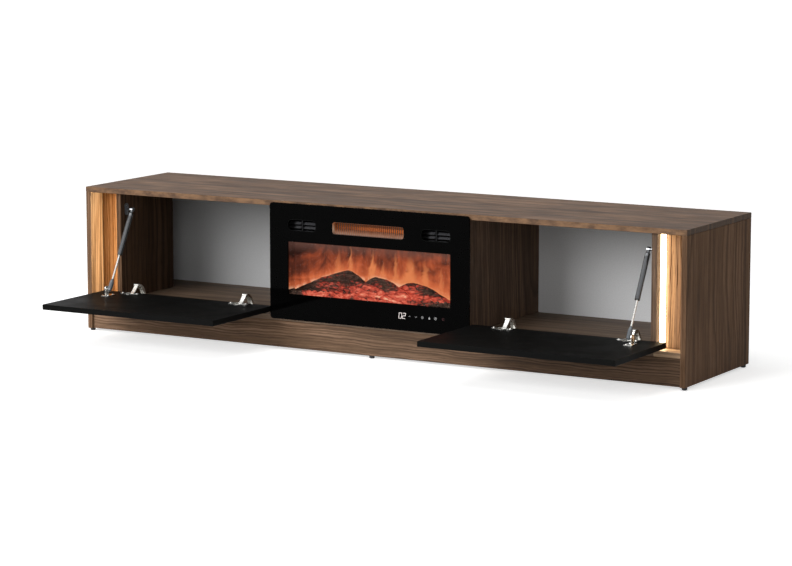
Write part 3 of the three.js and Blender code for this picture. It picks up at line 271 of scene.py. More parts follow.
def edgeBands(look, sides, colour):
    # the glued front edge, of warmer and blotchy wood
    blotch = look.grain((26, 4, 60), 4.0, 0.65)
    edge = look.ramp(blotch, zip(walnut["edgeMarks"], walnut["edgeTones"]))
    colour = look.blend(look.span(sides["y"], *walnut["frontEdge"]), colour, edge)
    # the end faces carry the grain of the side panels up
    side = look.ramp(woodGrain(look, "streak", "z"), zip(walnut["endMarks"], walnut["endTones"]))
    return look.blend(look.span(look.maths("ABSOLUTE", sides["x"]), *walnut["endFace"]), colour, side)


def veneer(name):
    plan = {**commonBoard, **boards[name]}
    look = Finish(name, specular=plan["sheen"])
    along, sides = plan["along"], look.sides()
    count = ringCount(look, plan, sides)
    chance = look.node("TexWhiteNoise", noise_dimensions="1D")
    look.feed(chance, {"W": look.maths("FLOOR", count)})
    line = look.ramp(look.maths("FRACT", count), walnut["ringLine"])
    kinds = ("streak", "fibre", "patch", "pore")
    streak, fibre, patch, pore = (woodGrain(look, kind, along) for kind in kinds)
    most = plan["lines"]
    strength = look.times(look.span(patch, *walnut["patches"], most * walnut["faintest"], most),
                          look.span(chance.outputs["Value"], *walnut["chances"]))
    if "stripLightAndShade" in plan:
        strength = look.times(strength, look.span(sides["x"], *niche["leftToRight"], *niche["lines"]))
    figure = look.times(look.blend(strength, streak, line), walnut["figure"])
    figure = look.total(figure, look.times(fibre, walnut["fibre"]), look.times(patch, walnut["patch"]))
    if "dashes" in plan:
        # short darker and lighter streaks that show at a flat angle
        figure = look.total(figure, look.swing(woodGrain(look, "dash", along), plan["dashes"]))
    if "stripLightAndShade" in plan:
        # fine dark lines that the light strip brings out
        thin = look.span(sides["x"], *niche["leftToRight"], *niche["thin"])
        figure = look.total(figure, look.swing(woodGrain(look, "thin", along), thin))
    colour = look.ramp(figure, zip(walnut["marks"], plan["tones"]))
    if "litSpan" in plan:
        colour = litFaces(look, plan, sides, figure, colour)
    # the light strip's painted light and shade on the niche backs
    if "stripLightAndShade" in plan:
        colour = stripLightAndShade(look, sides, figure, colour)
    if "fade" in plan:
        # less light deep inside
        colour = look.dimmed(colour, look.span(sides["y"], *walnut["depth"]), plan["fade"])
    if "edged" in plan:
        colour = edgeBands(look, sides, colour)
    if "ends" in plan:
        # painted light and shade: brighter at its left end, under the left door's shadow, and darker towards
        # its right end
        uneven = look.ramp(look.span(sides["x"], *plan["ends"]), ((0.0, 0.0), (1.0, 1.3)))
        colour = look.blend(1.0, colour, uneven, "MULTIPLY")
    colour = look.blend(walnut["poreShade"], colour, look.ramp(pore, walnut["pores"]), "MULTIPLY")
    look.bump(look.total(pore, fibre), *walnut["bump"])
    return look.shade(colour=colour, rough=look.span(fibre, 0.3, 0.7, *walnut["roughness"]))


for name, board in boards.items():
    paint(veneer(name), *board["nodes"])
print("cabinet: walnut")

# light strips: spans of |x| and of y in metres, with the share of the glow below and above them
strip = {"tones": ("#ffe2bb", "#fff3de"), "glow": "#ffe2b6", "strength": 17.0,
         "face": (0.9019, 0.9055, 0.08, 0.9), "faceDepth": (-0.008, -0.0065, 1.0, 0.06),
         "flank": (0.9101, 0.9106), "flankDepth": (-0.005, -0.0015, 1.0, 0.2)}


def lightCover():
    look = Finish("lightCover", rough=0.6)
    colour = look.ramp(look.grain((4, 4, 160), 1.0), zip((0.0, 1.0), strip["tones"]))
    sides = look.sides()
    out = look.maths("ABSOLUTE", sides["x"])
    face = look.times(look.span(out, *strip["face"]), look.span(sides["y"], *strip["faceDepth"]))
    flank = look.times(look.span(out, *strip["flank"]), look.span(sides["y"], *strip["flankDepth"]))
    strength = look.times(look.maths("MAXIMUM", face, flank), strip["strength"])
    return look.shade(colour=colour, glow=strip["glow"], glowStrength=strength)


paint(lightCover(), "left_led_diffuser", "right_led_diffuser")


# painted, moulded and plated surfaces share one recipe with a fine speckle
def coated(name, dark, light, roughness, metal=0.0, speckle=900.0, bump=0.05, specular=0.5):
    look = Finish(name, metal=metal, specular=specular)
    grain, cloud = look.grain(speckle, 2.0), look.grain(9.0, 3.0)
    mixed = look.total(look.times(grain, 0.4), look.times(cloud, 0.6))
    look.bump(grain, bump, 0.0003)
    return look.shade(colour=look.ramp(mixed, ((0.35, dark), (0.65, light))),
                      rough=look.span(cloud, 0.3, 0.7, *roughness))


def brushed(name, dark, light, roughness):
    look = Finish(name, metal=1.0)
    line, cloud = look.grain((40, 40, 900), 3.0), look.grain(14.0, 3.0)
    look.bump(line, 0.04, 0.0002)
    return look.shade(colour=look.ramp(line, ((0.3, dark), (0.7, light))),
                      rough=look.span(cloud, 0.3, 0.7, *roughness))


backPaint = {"tones": ("#c4c5c6", "#cacbcc"), "face": (0.373, 0.374, 1.0, 0.0),
             "leftBay": (-0.42, -0.3, 1.0, 0.0), "share": 0.7}


def backBoard():
    # grey board, less lit on its inner face in the left compartment
    look = Finish("backBoard", rough=0.68, specular=0.15)
    grain, sides = look.grain(260.0, 2.0), look.sides()
    inside = look.times(look.span(sides["y"], *backPaint["face"]),
                        look.span(sides["x"], *backPaint["leftBay"]))
    colour = look.ramp(grain, zip((0.35, 0.65), backPaint["tones"]))
    look.bump(grain, 0.08, 0.0003)
    return look.shade(colour=look.dimmed(colour, inside, backPaint["share"]))


blackLacquer = coated("blackLacquer", "#080808", "#0b0b0a", (0.45, 0.55), speckle=1400.0, specular=0.025)
blackPlastic = coated("blackPlastic", "#141416", "#1c1c1f", (0.45, 0.6), speckle=700.0, specular=0.35)
blackGlass = coated("blackGlass", "#010101", "#020202", (0.05, 0.08), speckle=60.0, bump=0.0, specular=0.015)
nickel = brushed("nickel", "#b9b8b4", "#dddcd8", (0.2, 0.32))
greySteel = brushed("greySteel", "#6e7073", "#8b8d90", (0.28, 0.4))
polished = brushed("polished", "#d0cdc8", "#efece6", (0.08, 0.16))
sheetSteel = coated("sheetSteel", "#242426", "#2e2e31", (0.4, 0.55), metal=0.4, speckle=600.0)
circuit = coated("circuit", "#16452a", "#1f5a35", (0.4, 0.55), speckle=300.0)

# struts: painted tube with a light neck and a black end ring, plated rod with a grey socket
# top and foot are its centres in y and z; a band has its start, end, tone and metal, millimetres from the top
strut = {"top": Vector((-15.75, 377.0)), "foot": Vector((-137.95, 148.0)), "blur": 0.3,
         "tube": ("#4c4d4f", "#5c5d5f"), "rod": ("#c6c5c1", "#e2e1dd"), "neck": (-30.0, 22.0, "#7c7e80", 0.9),
         "ring": (147.5, 153.0, "#0c0c0c", 0.0), "socket": (-33.0, 20.0, "#54585c", 0.2)}


def strutFinish(name, tones, metal, bands):
    look = Finish(name, rough=0.22)
    sides = look.sides()
    top, foot = strut["top"] * mm, strut["foot"] * mm
    along = (foot - top).normalized()
    down = look.total(look.times(look.minus(sides["y"], top[0]), along[0]),
                      look.times(look.minus(sides["z"], top[1]), along[1]))
    colour = look.ramp(look.grain(500.0, 2.0), zip((0.3, 0.7), tones))
    blur = strut["blur"] * mm
    for start, end, code, bandMetal in bands:
        start, end = start * mm, end * mm
        inside = look.times(look.span(down, start - blur, start + blur),
                            look.span(down, end - blur, end + blur, 1.0, 0.0))
        colour = look.blend(inside, colour, code)
        metal = look.span(inside, 0.0, 1.0, metal, bandMetal)
    return look.shade(colour=colour, metal=metal)


# the rod's socket is given from the foot
strutReach = (strut["foot"] - strut["top"]).length
before, beyond, *socketLooks = strut["socket"]
socketBand = (strutReach + before, strutReach + beyond, *socketLooks)
tubePaint = strutFinish("strutTube", strut["tube"], 0.75, (strut["neck"], strut["ring"]))
rodPaint = strutFinish("strutRod", strut["rod"], 1.0, (socketBand,))

paint(backBoard(), "back_panel")
paint(blackLacquer, "left_door", "right_door")
paint(blackPlastic, "middle_glide", "blower_motor")
paint(blackGlass, "front_glass")
paint(sheetSteel, "insert_housing")
paint(circuit, "light_board", "control_board")
paint(polished, "flame_spindle")
paint(greySteel, "spindle_motor", "blower_wheel")
for label in ends:
    paint(blackPlastic, f"{label}_front_glide", f"{label}_back_glide")
    paint(greySteel, f"{label}_led_profile", f"{label}_strut_wall_plate")
    paint(tubePaint, f"{label}_strut_tube")
    paint(rodPaint, f"{label}_strut_rod")
    paint(nickel, f"{label}_strut_door_bracket")
    for place in ("outer", "inner"):
        paint(nickel, *[f"{label}_{place}_hinge_{part}" for part in ("arm", "link", "cup")])
print("cabinet: coatings and metals")


# clear pane in front of the logs
def clearPane():
    look = Finish("clearPane", alpha=0.08, rough=0.03, specular=0.02)
    return look.shade(colour=look.ramp(look.grain(12.0, 2.0), ((0.3, "#1c1816"), (0.7, "#2a2420"))))


paint(clearPane(), "window_pane")

# flame effect, painted on the screen behind the logs; heights and sides as shares of the window
flames = {
    "smoke": ((0.08, "#2e1611"), (0.26, "#663122"), (0.46, "#a84d2e"), (0.68, "#d86c42"), (0.92, "#f2925f")),
    "tongue": "#ee8c56", "rim": "#ffc09a", "haze": "#8a6256", "linerEdge": "#e08a68",
    "hot": 0.7, "cooling": -0.6, "sight": (0.085, 0.1), "bend": 0.07, "tipWidth": 0.25,
    "core": (0.15, 1.0, 1.0, 0.0), "footBlur": 0.25, "tipBlur": 0.4, "rimWisps": (0.36, 0.6),
    "left": (0.0, 0.45, -0.12, 0.14), "atLogs": (0.0, 0.3, 0.28, 0.0), "rimSpan": (0.0, 0.09, 0.9, 0.0),
    "hazeSpan": (0.78, 1.02, 0.0, 0.42), "edgeSpan": (-0.045, -0.041, 1.0, 0.0),
    # noises: scales, detail, roughness, distortion and shift
    "broad": ((7, 7, 9), 4.0, 0.55, 1.6, (0.13, 0, 0.4)),
    "wisp": ((20, 20, 13), 4.0, 0.6, 2.2, (0.4, 0, 0.2)),
    "tall": ((60, 60, 4.5), 3.0, 0.55, 0.4, (0.35, 0, 0.1)),
    "swings": {"broad": 0.9, "wisp": 0.5, "tall": 0.4},
}
# side, half width, foot, tip and strength of each tongue
tongueShares = (
    (0.31, 0.036, 0.5, 0.98, 0.5), (0.385, 0.022, 0.45, 1.15, 0.75), (0.52, 0.038, 0.5, 1.06, 0.95),
    (0.585, 0.024, 0.4, 0.86, 0.75), (0.665, 0.024, 0.5, 1.05, 0.7), (0.755, 0.064, 0.36, 1.0, 0.9),
    (0.85, 0.034, 0.42, 0.92, 0.8), (0.945, 0.022, 0.4, 0.86, 0.5),
)
# line of the log tops across the window
logLine = (
    (0.0, 0.1), (0.06, 0.13), (0.13, 0.25), (0.21, 0.34), (0.29, 0.43), (0.37, 0.5), (0.43, 0.42),
    (0.475, 0.38), (0.52, 0.42), (0.57, 0.43), (0.64, 0.36), (0.7, 0.31), (0.75, 0.34), (0.83, 0.3),
    (0.91, 0.2), (1.0, 0.08),
)


def windowShares(look, sides):
    low, high, half = (front[key] * mm for key in ("windowLow", "windowHigh", "windowHalf"))
    height = look.maths("DIVIDE", look.minus(sides["z"], low), high - low)
    return look.maths("DIVIDE", look.total(sides["x"], half), 2 * half), height


def flameTongue(look, side, height, plan):
    centre, half, foot, tip, strength = plan
    off = look.maths("ABSOLUTE", look.minus(side, centre))
    narrowing = look.span(height, foot, tip, half, half * flames["tipWidth"])
    inside = look.span(look.maths("DIVIDE", off, narrowing), *flames["core"])
    rise = look.times(look.span(height, foot - flames["footBlur"], foot),
                      look.span(height, tip, tip - flames["tipBlur"]))
    return look.times(inside, rise, strength)


def flamePicture(name, strength=1.0, edged=False):
    look = Finish(name, rough=0.8, specular=0.02)
    sides = look.sides()
    shares = zip(windowShares(look, sides), flames["sight"])
    side, height = (look.total(share, shift) for share, shift in shares)
    noises = {kind: look.grain(*flames[kind]) for kind in flames["swings"]}
    above = look.minus(height, look.ramp(side, logLine))
    heat = look.total(look.times(height, flames["cooling"]), flames["hot"],
                      *[look.swing(noises[kind], amount) for kind, amount in flames["swings"].items()],
                      look.span(side, *flames["left"]), look.span(above, *flames["atLogs"]))
    colour = look.ramp(heat, flames["smoke"])
    bent = look.total(side, look.swing(noises["wisp"], flames["bend"]))
    flare = 0.0
    for plan in tongueShares:
        flare = look.maths("MAXIMUM", flameTongue(look, bent, height, plan), flare)
    colour = look.blend(flare, colour, flames["tongue"])
    rim = look.times(look.span(above, *flames["rimSpan"]), look.span(noises["wisp"], *flames["rimWisps"]))
    colour = look.blend(rim, colour, flames["rim"])
    colour = look.blend(look.span(height, *flames["hazeSpan"]), colour, flames["haze"])
    if edged:
        # turned edge at the window, lit by the flames
        colour = look.blend(look.span(sides["y"], *flames["edgeSpan"]), colour, flames["linerEdge"])
    return look.shade(colour="#120c0a", glow=colour, glowStrength=strength)


paint(flamePicture("flamePicture"), "flame_screen")

# heater: glowing coil in its tube, a reflector with the coil's glow painted on as a reflection, a guard with
# painted light along its foot
heater = {
    "centre": 376.0, "half": 17.5, "windings": 150.0, "reflectorSwing": 0.5, "guardSwing": 0.35,
    "coil": ((0.2, "#4a1a08"), (0.6, "#a04818"), (1.0, "#d07a3c")), "warming": (-0.08, -0.02, 0.5, 1.1),
    "reflector": ((0.0, "#e8a888"), (0.34, "#b8622c"), (1.0, "#7a3a1a")), "reflectorStrength": 0.32,
    "guard": ((0.0, "#e0b8a4"), (0.2, "#b07a5e"), (0.36, "#4a2214"), (1.0, "#240f08")), "guardStrength": 0.4,
    "lining": ((0.0, "#8c6c60"), (0.1, "#b88c74"), (0.4, "#eec0a0"), (0.9, "#c07040")),
    "liningStrength": 0.34,
}


def heaterShare(look):
    # height in the heater's slot, 0 at its lower edge and 1 at its upper edge
    low = (heater["centre"] - heater["half"]) * mm
    return look.maths("DIVIDE", look.minus(look.sides()["z"], low), 2 * heater["half"] * mm)


def glowingTube():
    look = Finish("glowingTube", rough=0.6, specular=0.05)
    coil = look.node("TexWave", wave_type="BANDS", bands_direction="X")
    look.feed(coil, {"Vector": look.place((1, 1, 1)), "Scale": heater["windings"], "Distortion": 0.4})
    strength = look.span(look.sides()["x"], *heater["warming"])
    colour = look.ramp(coil.outputs["Fac"], heater["coil"])
    return look.shade(colour="#4a1e10", glow=colour, glowStrength=strength)


def glowingReflector():
    # painted reflection of the coil's glow, brighter low down
    look = Finish("glowingReflector", metal=0.4, rough=0.5)
    level = look.total(heaterShare(look), look.swing(look.grain((30, 30, 60), 3.0), heater["reflectorSwing"]))
    return look.shade(colour="#4a3020", glow=look.ramp(level, heater["reflector"]),
                      glowStrength=heater["reflectorStrength"])


def litGuard():
    look = Finish("litGuard", metal=0.5, rough=0.4)
    level = look.total(heaterShare(look), look.swing(look.grain((90, 1, 90), 2.0), heater["guardSwing"]))
    return look.shade(colour="#1c1410", glow=look.ramp(level, heater["guard"]),
                      glowStrength=heater["guardStrength"])


paint(glowingTube(), "quartz_tube")
paint(glowingReflector(), "heater_reflector")
paint(litGuard(), "heater_guard")

# vents, millimetres; depths behind the glass's face
vents = {"centre": 223.5, "half": 49.0, "slats": ("#2c2c2e", "#39393b"), "rim": "#030303",
         "shade": (19.0, 31.0), "rib": (5.0, 8.0), "ribShare": 0.25, "depth": (2.0, 4.0)}


def ventFinish(label, sign):
    # black rim and rib that fade into the glass, lighter slats behind, shaded by the rim at their left
    look = Finish(f"{label}VentFinish", rough=0.5, specular=0.03)
    sides = look.sides()
    aside = look.minus(sides["x"], sign * vents["centre"] * mm)
    depths = [(front["glassFace"] + depth) * mm for depth in vents["depth"]]
    shades = [(shade - vents["half"]) * mm for shade in vents["shade"]]
    ribs = [size * mm for size in vents["rib"]]
    shown = look.times(look.span(sides["y"], *depths), look.span(aside, *shades),
                       look.span(look.maths("ABSOLUTE", aside), *ribs, vents["ribShare"]))
    slats = look.ramp(look.grain(600.0, 2.0), zip((0.3, 0.7), vents["slats"]))
    return look.shade(colour=look.blend(shown, vents["rim"], slats))


for label, sign in ends.items():
    paint(ventFinish(label, sign), f"{label}_vent")
print("cabinet: fireplace front")


# meshes
def meshObject(name, points, faces, material, body, slot, smooth=False):
    mesh = bpy.data.meshes.new(name)
    mesh.from_pydata([tuple(p) for p in points], [], faces)
    mesh.validate()
    made = bpy.data.objects.new(name, mesh)
    bpy.context.scene.collection.objects.link(made)
    mesh.materials.append(material)
    work = bmesh.new()
    work.from_mesh(mesh)
    bmesh.ops.remove_doubles(work, verts=work.verts, dist=1e-7)
    bmesh.ops.recalc_face_normals(work, faces=work.faces)
    work.to_mesh(mesh)
    work.free()
    for polygon in mesh.polygons:
        polygon.use_smooth = smooth
    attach(made, body)
    return made


def turned(axis, place):
    # a matrix that stands z on an axis, at a place in metres
    turn = Vector((0, 0, 1)).rotation_difference(Vector(axis)).to_matrix().to_4x4()
    turn.translation = Vector(place)
    return turn


def lathe(profile, place, axis, segments):
    # points and faces of a profile of (radius, height) turned round an axis
    turn = turned(axis, place)
    points, faces = [], []
    rows = len(profile)
    for i in range(segments):
        angle = 2 * math.pi * i / segments
        points += [turn @ Vector((radius * math.cos(angle), radius * math.sin(angle), height))
                   for radius, height in profile]
        here, after = i * rows, (i + 1) % segments * rows
        faces += [[here + j, after + j, after + j + 1, here + j + 1] for j in range(rows - 1)]
    return points, faces


def ringFaces(rings, count, closed=False):
    # quads between rings of points, and from the last ring to the first where closed
    faces = []
    for ring in range(rings if closed else rings - 1):
        above = (ring + 1) % rings
        for i in range(count):
            after = (i + 1) % count
            faces.append([ring * count + i, ring * count + after, above * count + after, above * count + i])
    return faces


def sheetFaces(rows, wide):
    # quads of an open sheet with a row of points at each of its rows
    return [[i * wide + j, (i + 1) * wide + j, (i + 1) * wide + j + 1, i * wide + j + 1]
            for i in range(rows - 1) for j in range(wide - 1)]


def gathered(parts):
    points, faces = [], []
    for somePoints, someFaces in parts:
        faces += [[index + len(points) for index in face] for face in someFaces]
        points += somePoints
    return points, faces


# screw heads, domed with a cross recess; millimetres, and shares of the radius and the height
screws = {"height": 1.5, "recess": 0.55, "crossShare": 0.16, "armShare": 0.6, "rim": 0.35,
          "dome": (0.82, 0.82), "floorShare": 0.8}


def screwHead(place, radius, height=screws["height"], axis=(0, 0, 1), twist=0.4):
    reach = radius * screws["armShare"]
    waist = radius * screws["crossShare"]
    turn = turned(axis, Vector(place) * mm) @ Matrix.Rotation(twist, 4, "Z")
    outline = []
    for quarter in range(4):
        cos, sin = math.cos(quarter * math.pi / 2), math.sin(quarter * math.pi / 2)
        corners = ((reach, -waist), (reach, waist), (waist * 1.1, waist * 1.1))
        outline += [(x * cos - y * sin, x * sin + y * cos) for x, y in corners]
    inward, upward = screws["dome"]
    points = []
    for size, level in ((radius, 0), (radius, height * screws["rim"]), (radius * inward, height * upward)):
        for x, y in outline:
            points.append(Vector((size * x / math.hypot(x, y), size * y / math.hypot(x, y), level)))
    for share, level in ((1.0, height), (screws["floorShare"], height - screws["recess"])):
        points += [Vector((x * share, y * share, level)) for x, y in outline]
    count = len(outline)
    faces = ringFaces(5, count) + [[4 * count + i for i in range(count)]]
    return [turn @ (p * mm) for p in points], faces


# where the screws stand, millimetres; the left end mirrors the right one
fittings = {
    "hingeX": (442.0, 832.0), "linkScrew": {"y": 6.5, "z": 112.3, "radius": 3.4},
    "armScrews": {"aside": 19.5, "y": -4.25, "z": 105.3, "radius": 3.6},
    "cupScrews": {"aside": 26.0, "y": -78.25, "z": 130.2, "radius": 3.3},
    "wallScrews": {"x": 884.6, "y": -15.75, "z": 377.0, "apart": 11.0, "size": (2.1, 1.2)},
    "bracketScrews": {"x": 862.0, "y": -137.95, "z": 130.8, "apart": 12.5, "size": (2.9, 1.3)},
}


def fittingScrews():
    link = fittings["linkScrew"]
    arm, cup, wall, bracket = (fittings[f"{key}Screws"] for key in ("arm", "cup", "wall", "bracket"))
    for label, sign in ends.items():
        fixed, swung = [], []
        for x in fittings["hingeX"]:
            for turn in (-1, 1):
                for parts, plan, twist in ((fixed, arm, 0.3 + turn), (swung, cup, 0.9 - turn)):
                    place = (sign * x + turn * plan["aside"], plan["y"], plan["z"])
                    parts.append(screwHead(place, plan["radius"], twist=twist))
            fixed.append(screwHead((sign * x, link["y"], link["z"]), link["radius"]))
        for turn in (-1, 1):
            place = (sign * wall["x"], wall["y"], wall["z"] + turn * wall["apart"])
            fixed.append(screwHead(place, *wall["size"], (-sign, 0, 0), turn))
            place = (sign * bracket["x"], bracket["y"] + turn * bracket["apart"], bracket["z"])
            swung.append(screwHead(place, *bracket["size"], twist=0.5 * turn))
        meshObject(f"{label}CabinetScrews", *gathered(fixed), nickel, "root", "nickel")
        meshObject(f"{label}DoorScrews", *gathered(swung), nickel, f"{label}_door", "nickel")


fittingScrews()
print("cabinet: screws")

# log set, fuller than the solid that it stands for; millimetres
# closing is the slope and power of each end's taper, endDepth and endHeight what is left at its tip
logs = {"stations": 170, "arcs": 34, "ridge": 2.2, "depth": 25.0, "base": 169.0, "windowHigh": 155.0,
        "windowWide": 543.0, "rowFront": -40.25, "rowStep": 26.0, "lowest": 4.0, "bark": 2.0, "crack": 1.56,
        "crackWidth": 0.12, "barkScales": ((0.018, 3.2), (0.05, 7.5), (0.03, 4.6)), "fineShare": 0.8,
        "closing": (3.2, 0.4), "endDepth": 0.6, "endHeight": 0.15, "roundness": 0.8}
# ends, peak and heights as shares of the window, from its middle
logShares = (
    {"row": 1, "ends": (-0.535, -0.005), "peak": -0.2, "heights": (0.07, 0.46, 0.2), "phase": 0.4},
    {"row": 0, "ends": (-0.16, 0.225), "peak": 0.0, "heights": (0.12, 0.41, 0.2), "phase": 1.9},
    {"row": 1, "ends": (0.05, 0.455), "peak": 0.2, "heights": (0.22, 0.33, 0.06), "phase": 3.1},
)


def logHeight(share, start, stop, peak, heights):
    if share < peak:
        return heights[0] + (heights[1] - heights[0]) * ((share - start) / (peak - start)) ** 0.9
    return heights[2] + (heights[1] - heights[2]) * (1 - ((share - peak) / (stop - peak)) ** 1.3)


def barkLift(x, angle, phase):
    # long ridges, fine fibres and plates, each read along the log and round it
    ridge, fibre, scale = [(x * along, angle * around) for along, around in logs["barkScales"]]
    long = noise.fractal(Vector((ridge[0] + phase * 7, ridge[1], phase)), 0.9, 2.1, 4)
    fine = noise.fractal(Vector((fibre[0], fibre[1] + phase, 3.0)), 0.8, 2.0, 4)
    plate = abs(noise.noise(Vector((scale[0] + phase, scale[1], 5.0))))
    crack = max(0.0, logs["crackWidth"] - plate) / logs["crackWidth"]
    return logs["bark"] * (long + logs["fineShare"] * fine) - logs["crack"] * crack


def logShell(plan):
    start, stop = plan["ends"]
    points = []
    centre = logs["rowFront"] + logs["depth"] / 2 + plan["row"] * logs["rowStep"]
    rows, columns = logs["stations"], logs["arcs"]
    steep, power = logs["closing"]
    thin, low = logs["endDepth"], logs["endHeight"]
    for i in range(rows + 1):
        share = start + (stop - start) * i / rows
        x = share * logs["windowWide"]
        height = logHeight(share, start, stop, plan["peak"], plan["heights"])
        rise = logs["lowest"] + logs["windowHigh"] * height
        closing = min(1.0, steep * min(i, rows - i) / rows) ** power if 0 < i < rows else 0.0
        for j in range(columns + 1):
            angle = math.pi * j / columns
            lift = barkLift(x, angle, plan["phase"]) * math.sin(angle)
            deep = (logs["depth"] / 2 - logs["ridge"] + lift) * (thin + (1 - thin) * closing)
            tall = math.sin(angle) ** logs["roundness"] * (rise + lift) * (low + (1 - low) * closing)
            points.append(Vector((x, centre - math.cos(angle) * deep, logs["base"] + tall)) * mm)
    return points, sheetFaces(rows + 1, columns + 1)


# bed of coals, millimetres
coals = {"columns": 300, "rows": 22, "half": 301.0, "front": -60.1, "back": 13.2, "reach": 22.0,
         "foot": 154.5, "base": 173.0, "pitch": 15.0, "lowest": 3.0, "bank": 5.0, "lump": 8.0, "seat": 5.5,
         "wave": 4.0, "grit": 0.9}


def coalHeight(x, y):
    share = max(0.0, min(1.0, (y - coals["front"]) / coals["reach"]))
    fade = 1 - share ** 2
    distances, places = noise.voronoi(Vector((x / coals["pitch"], y / coals["pitch"] * 1.3, 0.0)))
    lump = min(1.0, (distances[1] - distances[0]) * 1.7)
    seat = noise.noise(Vector((places[0][0] * 3.1, places[0][1] * 2.3, 1.0)))
    wave = noise.noise(Vector((x * 0.012, 0.4, 2.0)))
    grit = noise.fractal(Vector((x * 0.3, y * 0.3, 0.0)), 0.9, 2.0, 3)
    height = coals["bank"] + coals["lump"] * lump ** 0.6 + coals["seat"] * seat
    return coals["lowest"] + fade * (height + coals["wave"] * wave + coals["grit"] * grit)


def coalBed():
    points = []
    for i in range(coals["columns"] + 1):
        x = coals["half"] * (2 * i / coals["columns"] - 1)
        line = [(coals["front"], coals["foot"])]
        for j in range(coals["rows"] + 1):
            y = coals["front"] + coals["reach"] * 1.15 * j / coals["rows"]
            line.append((y, coals["base"] - coals["lowest"] + coalHeight(x, y)))
        line += [(coals["back"], coals["base"]), (coals["back"], coals["foot"])]
        points += [Vector((x, y, z)) * mm for y, z in line]
    return points, sheetFaces(coals["columns"] + 1, coals["rows"] + 4)


embers = {
    "bark": ((0.32, "#130b08"), (0.5, "#36251d"), (0.7, "#63493d")),
    "glow": ((0.0, "#000000"), (0.1, "#4a100c"), (0.24, "#a02c1e"), (0.42, "#d24c38"), (0.62, "#ec785c"),
             (0.9, "#ffd0a8")),
    "top": ((0.0, 0.1), (0.12, 0.2), (0.3, 0.25), (0.45, 0.31), (0.56, 0.42), (0.66, 0.37), (0.76, 0.29),
            (0.9, 0.25), (1.0, 0.16)),
    "rise": (0.12, -0.24, -0.16, 0.34), "lumps": (0.0, 0.16, -0.16, 0.05), "leftEnd": (0.02, 0.14, -0.5, 0.0),
    "rightEnd": (0.97, 0.88, -0.3, 0.0), "patches": 1.9, "flecks": 1.0,
}


def emberFinish():
    # charred bark above, embers glowing through it lower down and along the front
    look = Finish("ember", rough=0.9, specular=0.15)
    side, height = windowShares(look, look.sides())
    bark = look.grain((40, 150, 150), 6.0, 0.72)
    patch = look.grain((10, 26, 30), 3.0, 0.6, 0.8, (0.2, 0.5, 0.1))
    fleck = look.grain((70, 110, 130), 4.0, 0.7)
    lump = look.node("TexVoronoi", feature="DISTANCE_TO_EDGE")
    lump = look.feed(lump, {"Vector": look.place((40, 46, 90)), "Scale": 1.0}).outputs["Distance"]
    above = look.minus(height, look.ramp(side, embers["top"]))
    heat = look.total(look.span(above, *embers["rise"]), look.swing(patch, embers["patches"]),
                      look.swing(fleck, embers["flecks"]), look.span(lump, *embers["lumps"]),
                      look.span(side, *embers["leftEnd"]), look.span(side, *embers["rightEnd"]))
    look.bump(look.total(bark, lump), 0.8, 0.003)
    return look.shade(colour=look.ramp(bark, embers["bark"]), glow=look.ramp(heat, embers["glow"]),
                      glowStrength=1.0)


logParts = gathered([coalBed(), *[logShell(plan) for plan in logShares]])
logSet = meshObject("emberLogs", *logParts, emberFinish(), "root", "charred", smooth=True)
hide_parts("log_set")
print("cabinet: log set")

# sheets on the inner walls of the flame chamber with a painted reflection of the flames, which carry the
# flames round the corner
liners = {"half": 300.8, "depth": (-56.0, 12.9), "height": (176.0, 335.0), "sheet": 0.6, "strength": 0.7}


def chamberLiners():
    picture = flamePicture("linerPaintedReflection", liners["strength"], edged=True)
    (near, far), (low, high) = liners["depth"], liners["height"]
    rim = [(near, low), (far, low), (far, high), (near, high)]
    for label, sign in ends.items():
        outer, inner = sign * liners["half"], sign * (liners["half"] - liners["sheet"])
        points = [Vector((x, y, z)) * mm for x in (outer, inner) for y, z in rim]
        faces = [[0, 1, 2, 3], [4, 7, 6, 5], *ringFaces(2, 4)]
        meshObject(f"{label}ChamberLiner", points, faces, picture, "root", "sheet_steel")


chamberLiners()
print("cabinet: chamber liners")

# bright lining of the slot in front of the heater
lining = {"half": (118.7, 17.2), "corner": 7.7, "sheet": 0.3, "depth": (-72.1, -60.6), "steps": 6,
          "tones": ("#241c18", "#30261f")}


def roundedRim(inset):
    # outline in x and z about the heater's centre
    wide, tall = (size - inset for size in lining["half"])
    corner = lining["corner"] - inset
    spots = []
    for quarter, (right, up) in enumerate(((1, 1), (-1, 1), (-1, -1), (1, -1))):
        for i in range(lining["steps"] + 1):
            angle = (quarter + i / lining["steps"]) * math.pi / 2
            spots.append((right * (wide - corner) + corner * math.cos(angle),
                          up * (tall - corner) + corner * math.sin(angle)))
    return spots


def liningFinish():
    # lit by the tube where it faces the heater's light, dark above
    look = Finish("liningFinish", rough=0.4, specular=0.3)
    colour = look.ramp(look.grain(50.0, 2.0), zip((0.3, 0.7), lining["tones"]))
    glow = look.ramp(heaterShare(look), heater["lining"])
    return look.shade(colour=colour, glow=glow, glowStrength=heater["liningStrength"])


def slotLining():
    outer, inner = roundedRim(0.0), roundedRim(lining["sheet"])
    near, far = lining["depth"]
    rings = [(outer, near), (outer, far), (inner, far), (inner, near)]
    points = [Vector((x, y, heater["centre"] + z)) * mm for spots, y in rings for x, z in spots]
    faces = ringFaces(4, len(outer), closed=True)
    meshObject("slotLining", points, faces, liningFinish(), "root", "polished")


slotLining()
print("cabinet: slot lining")

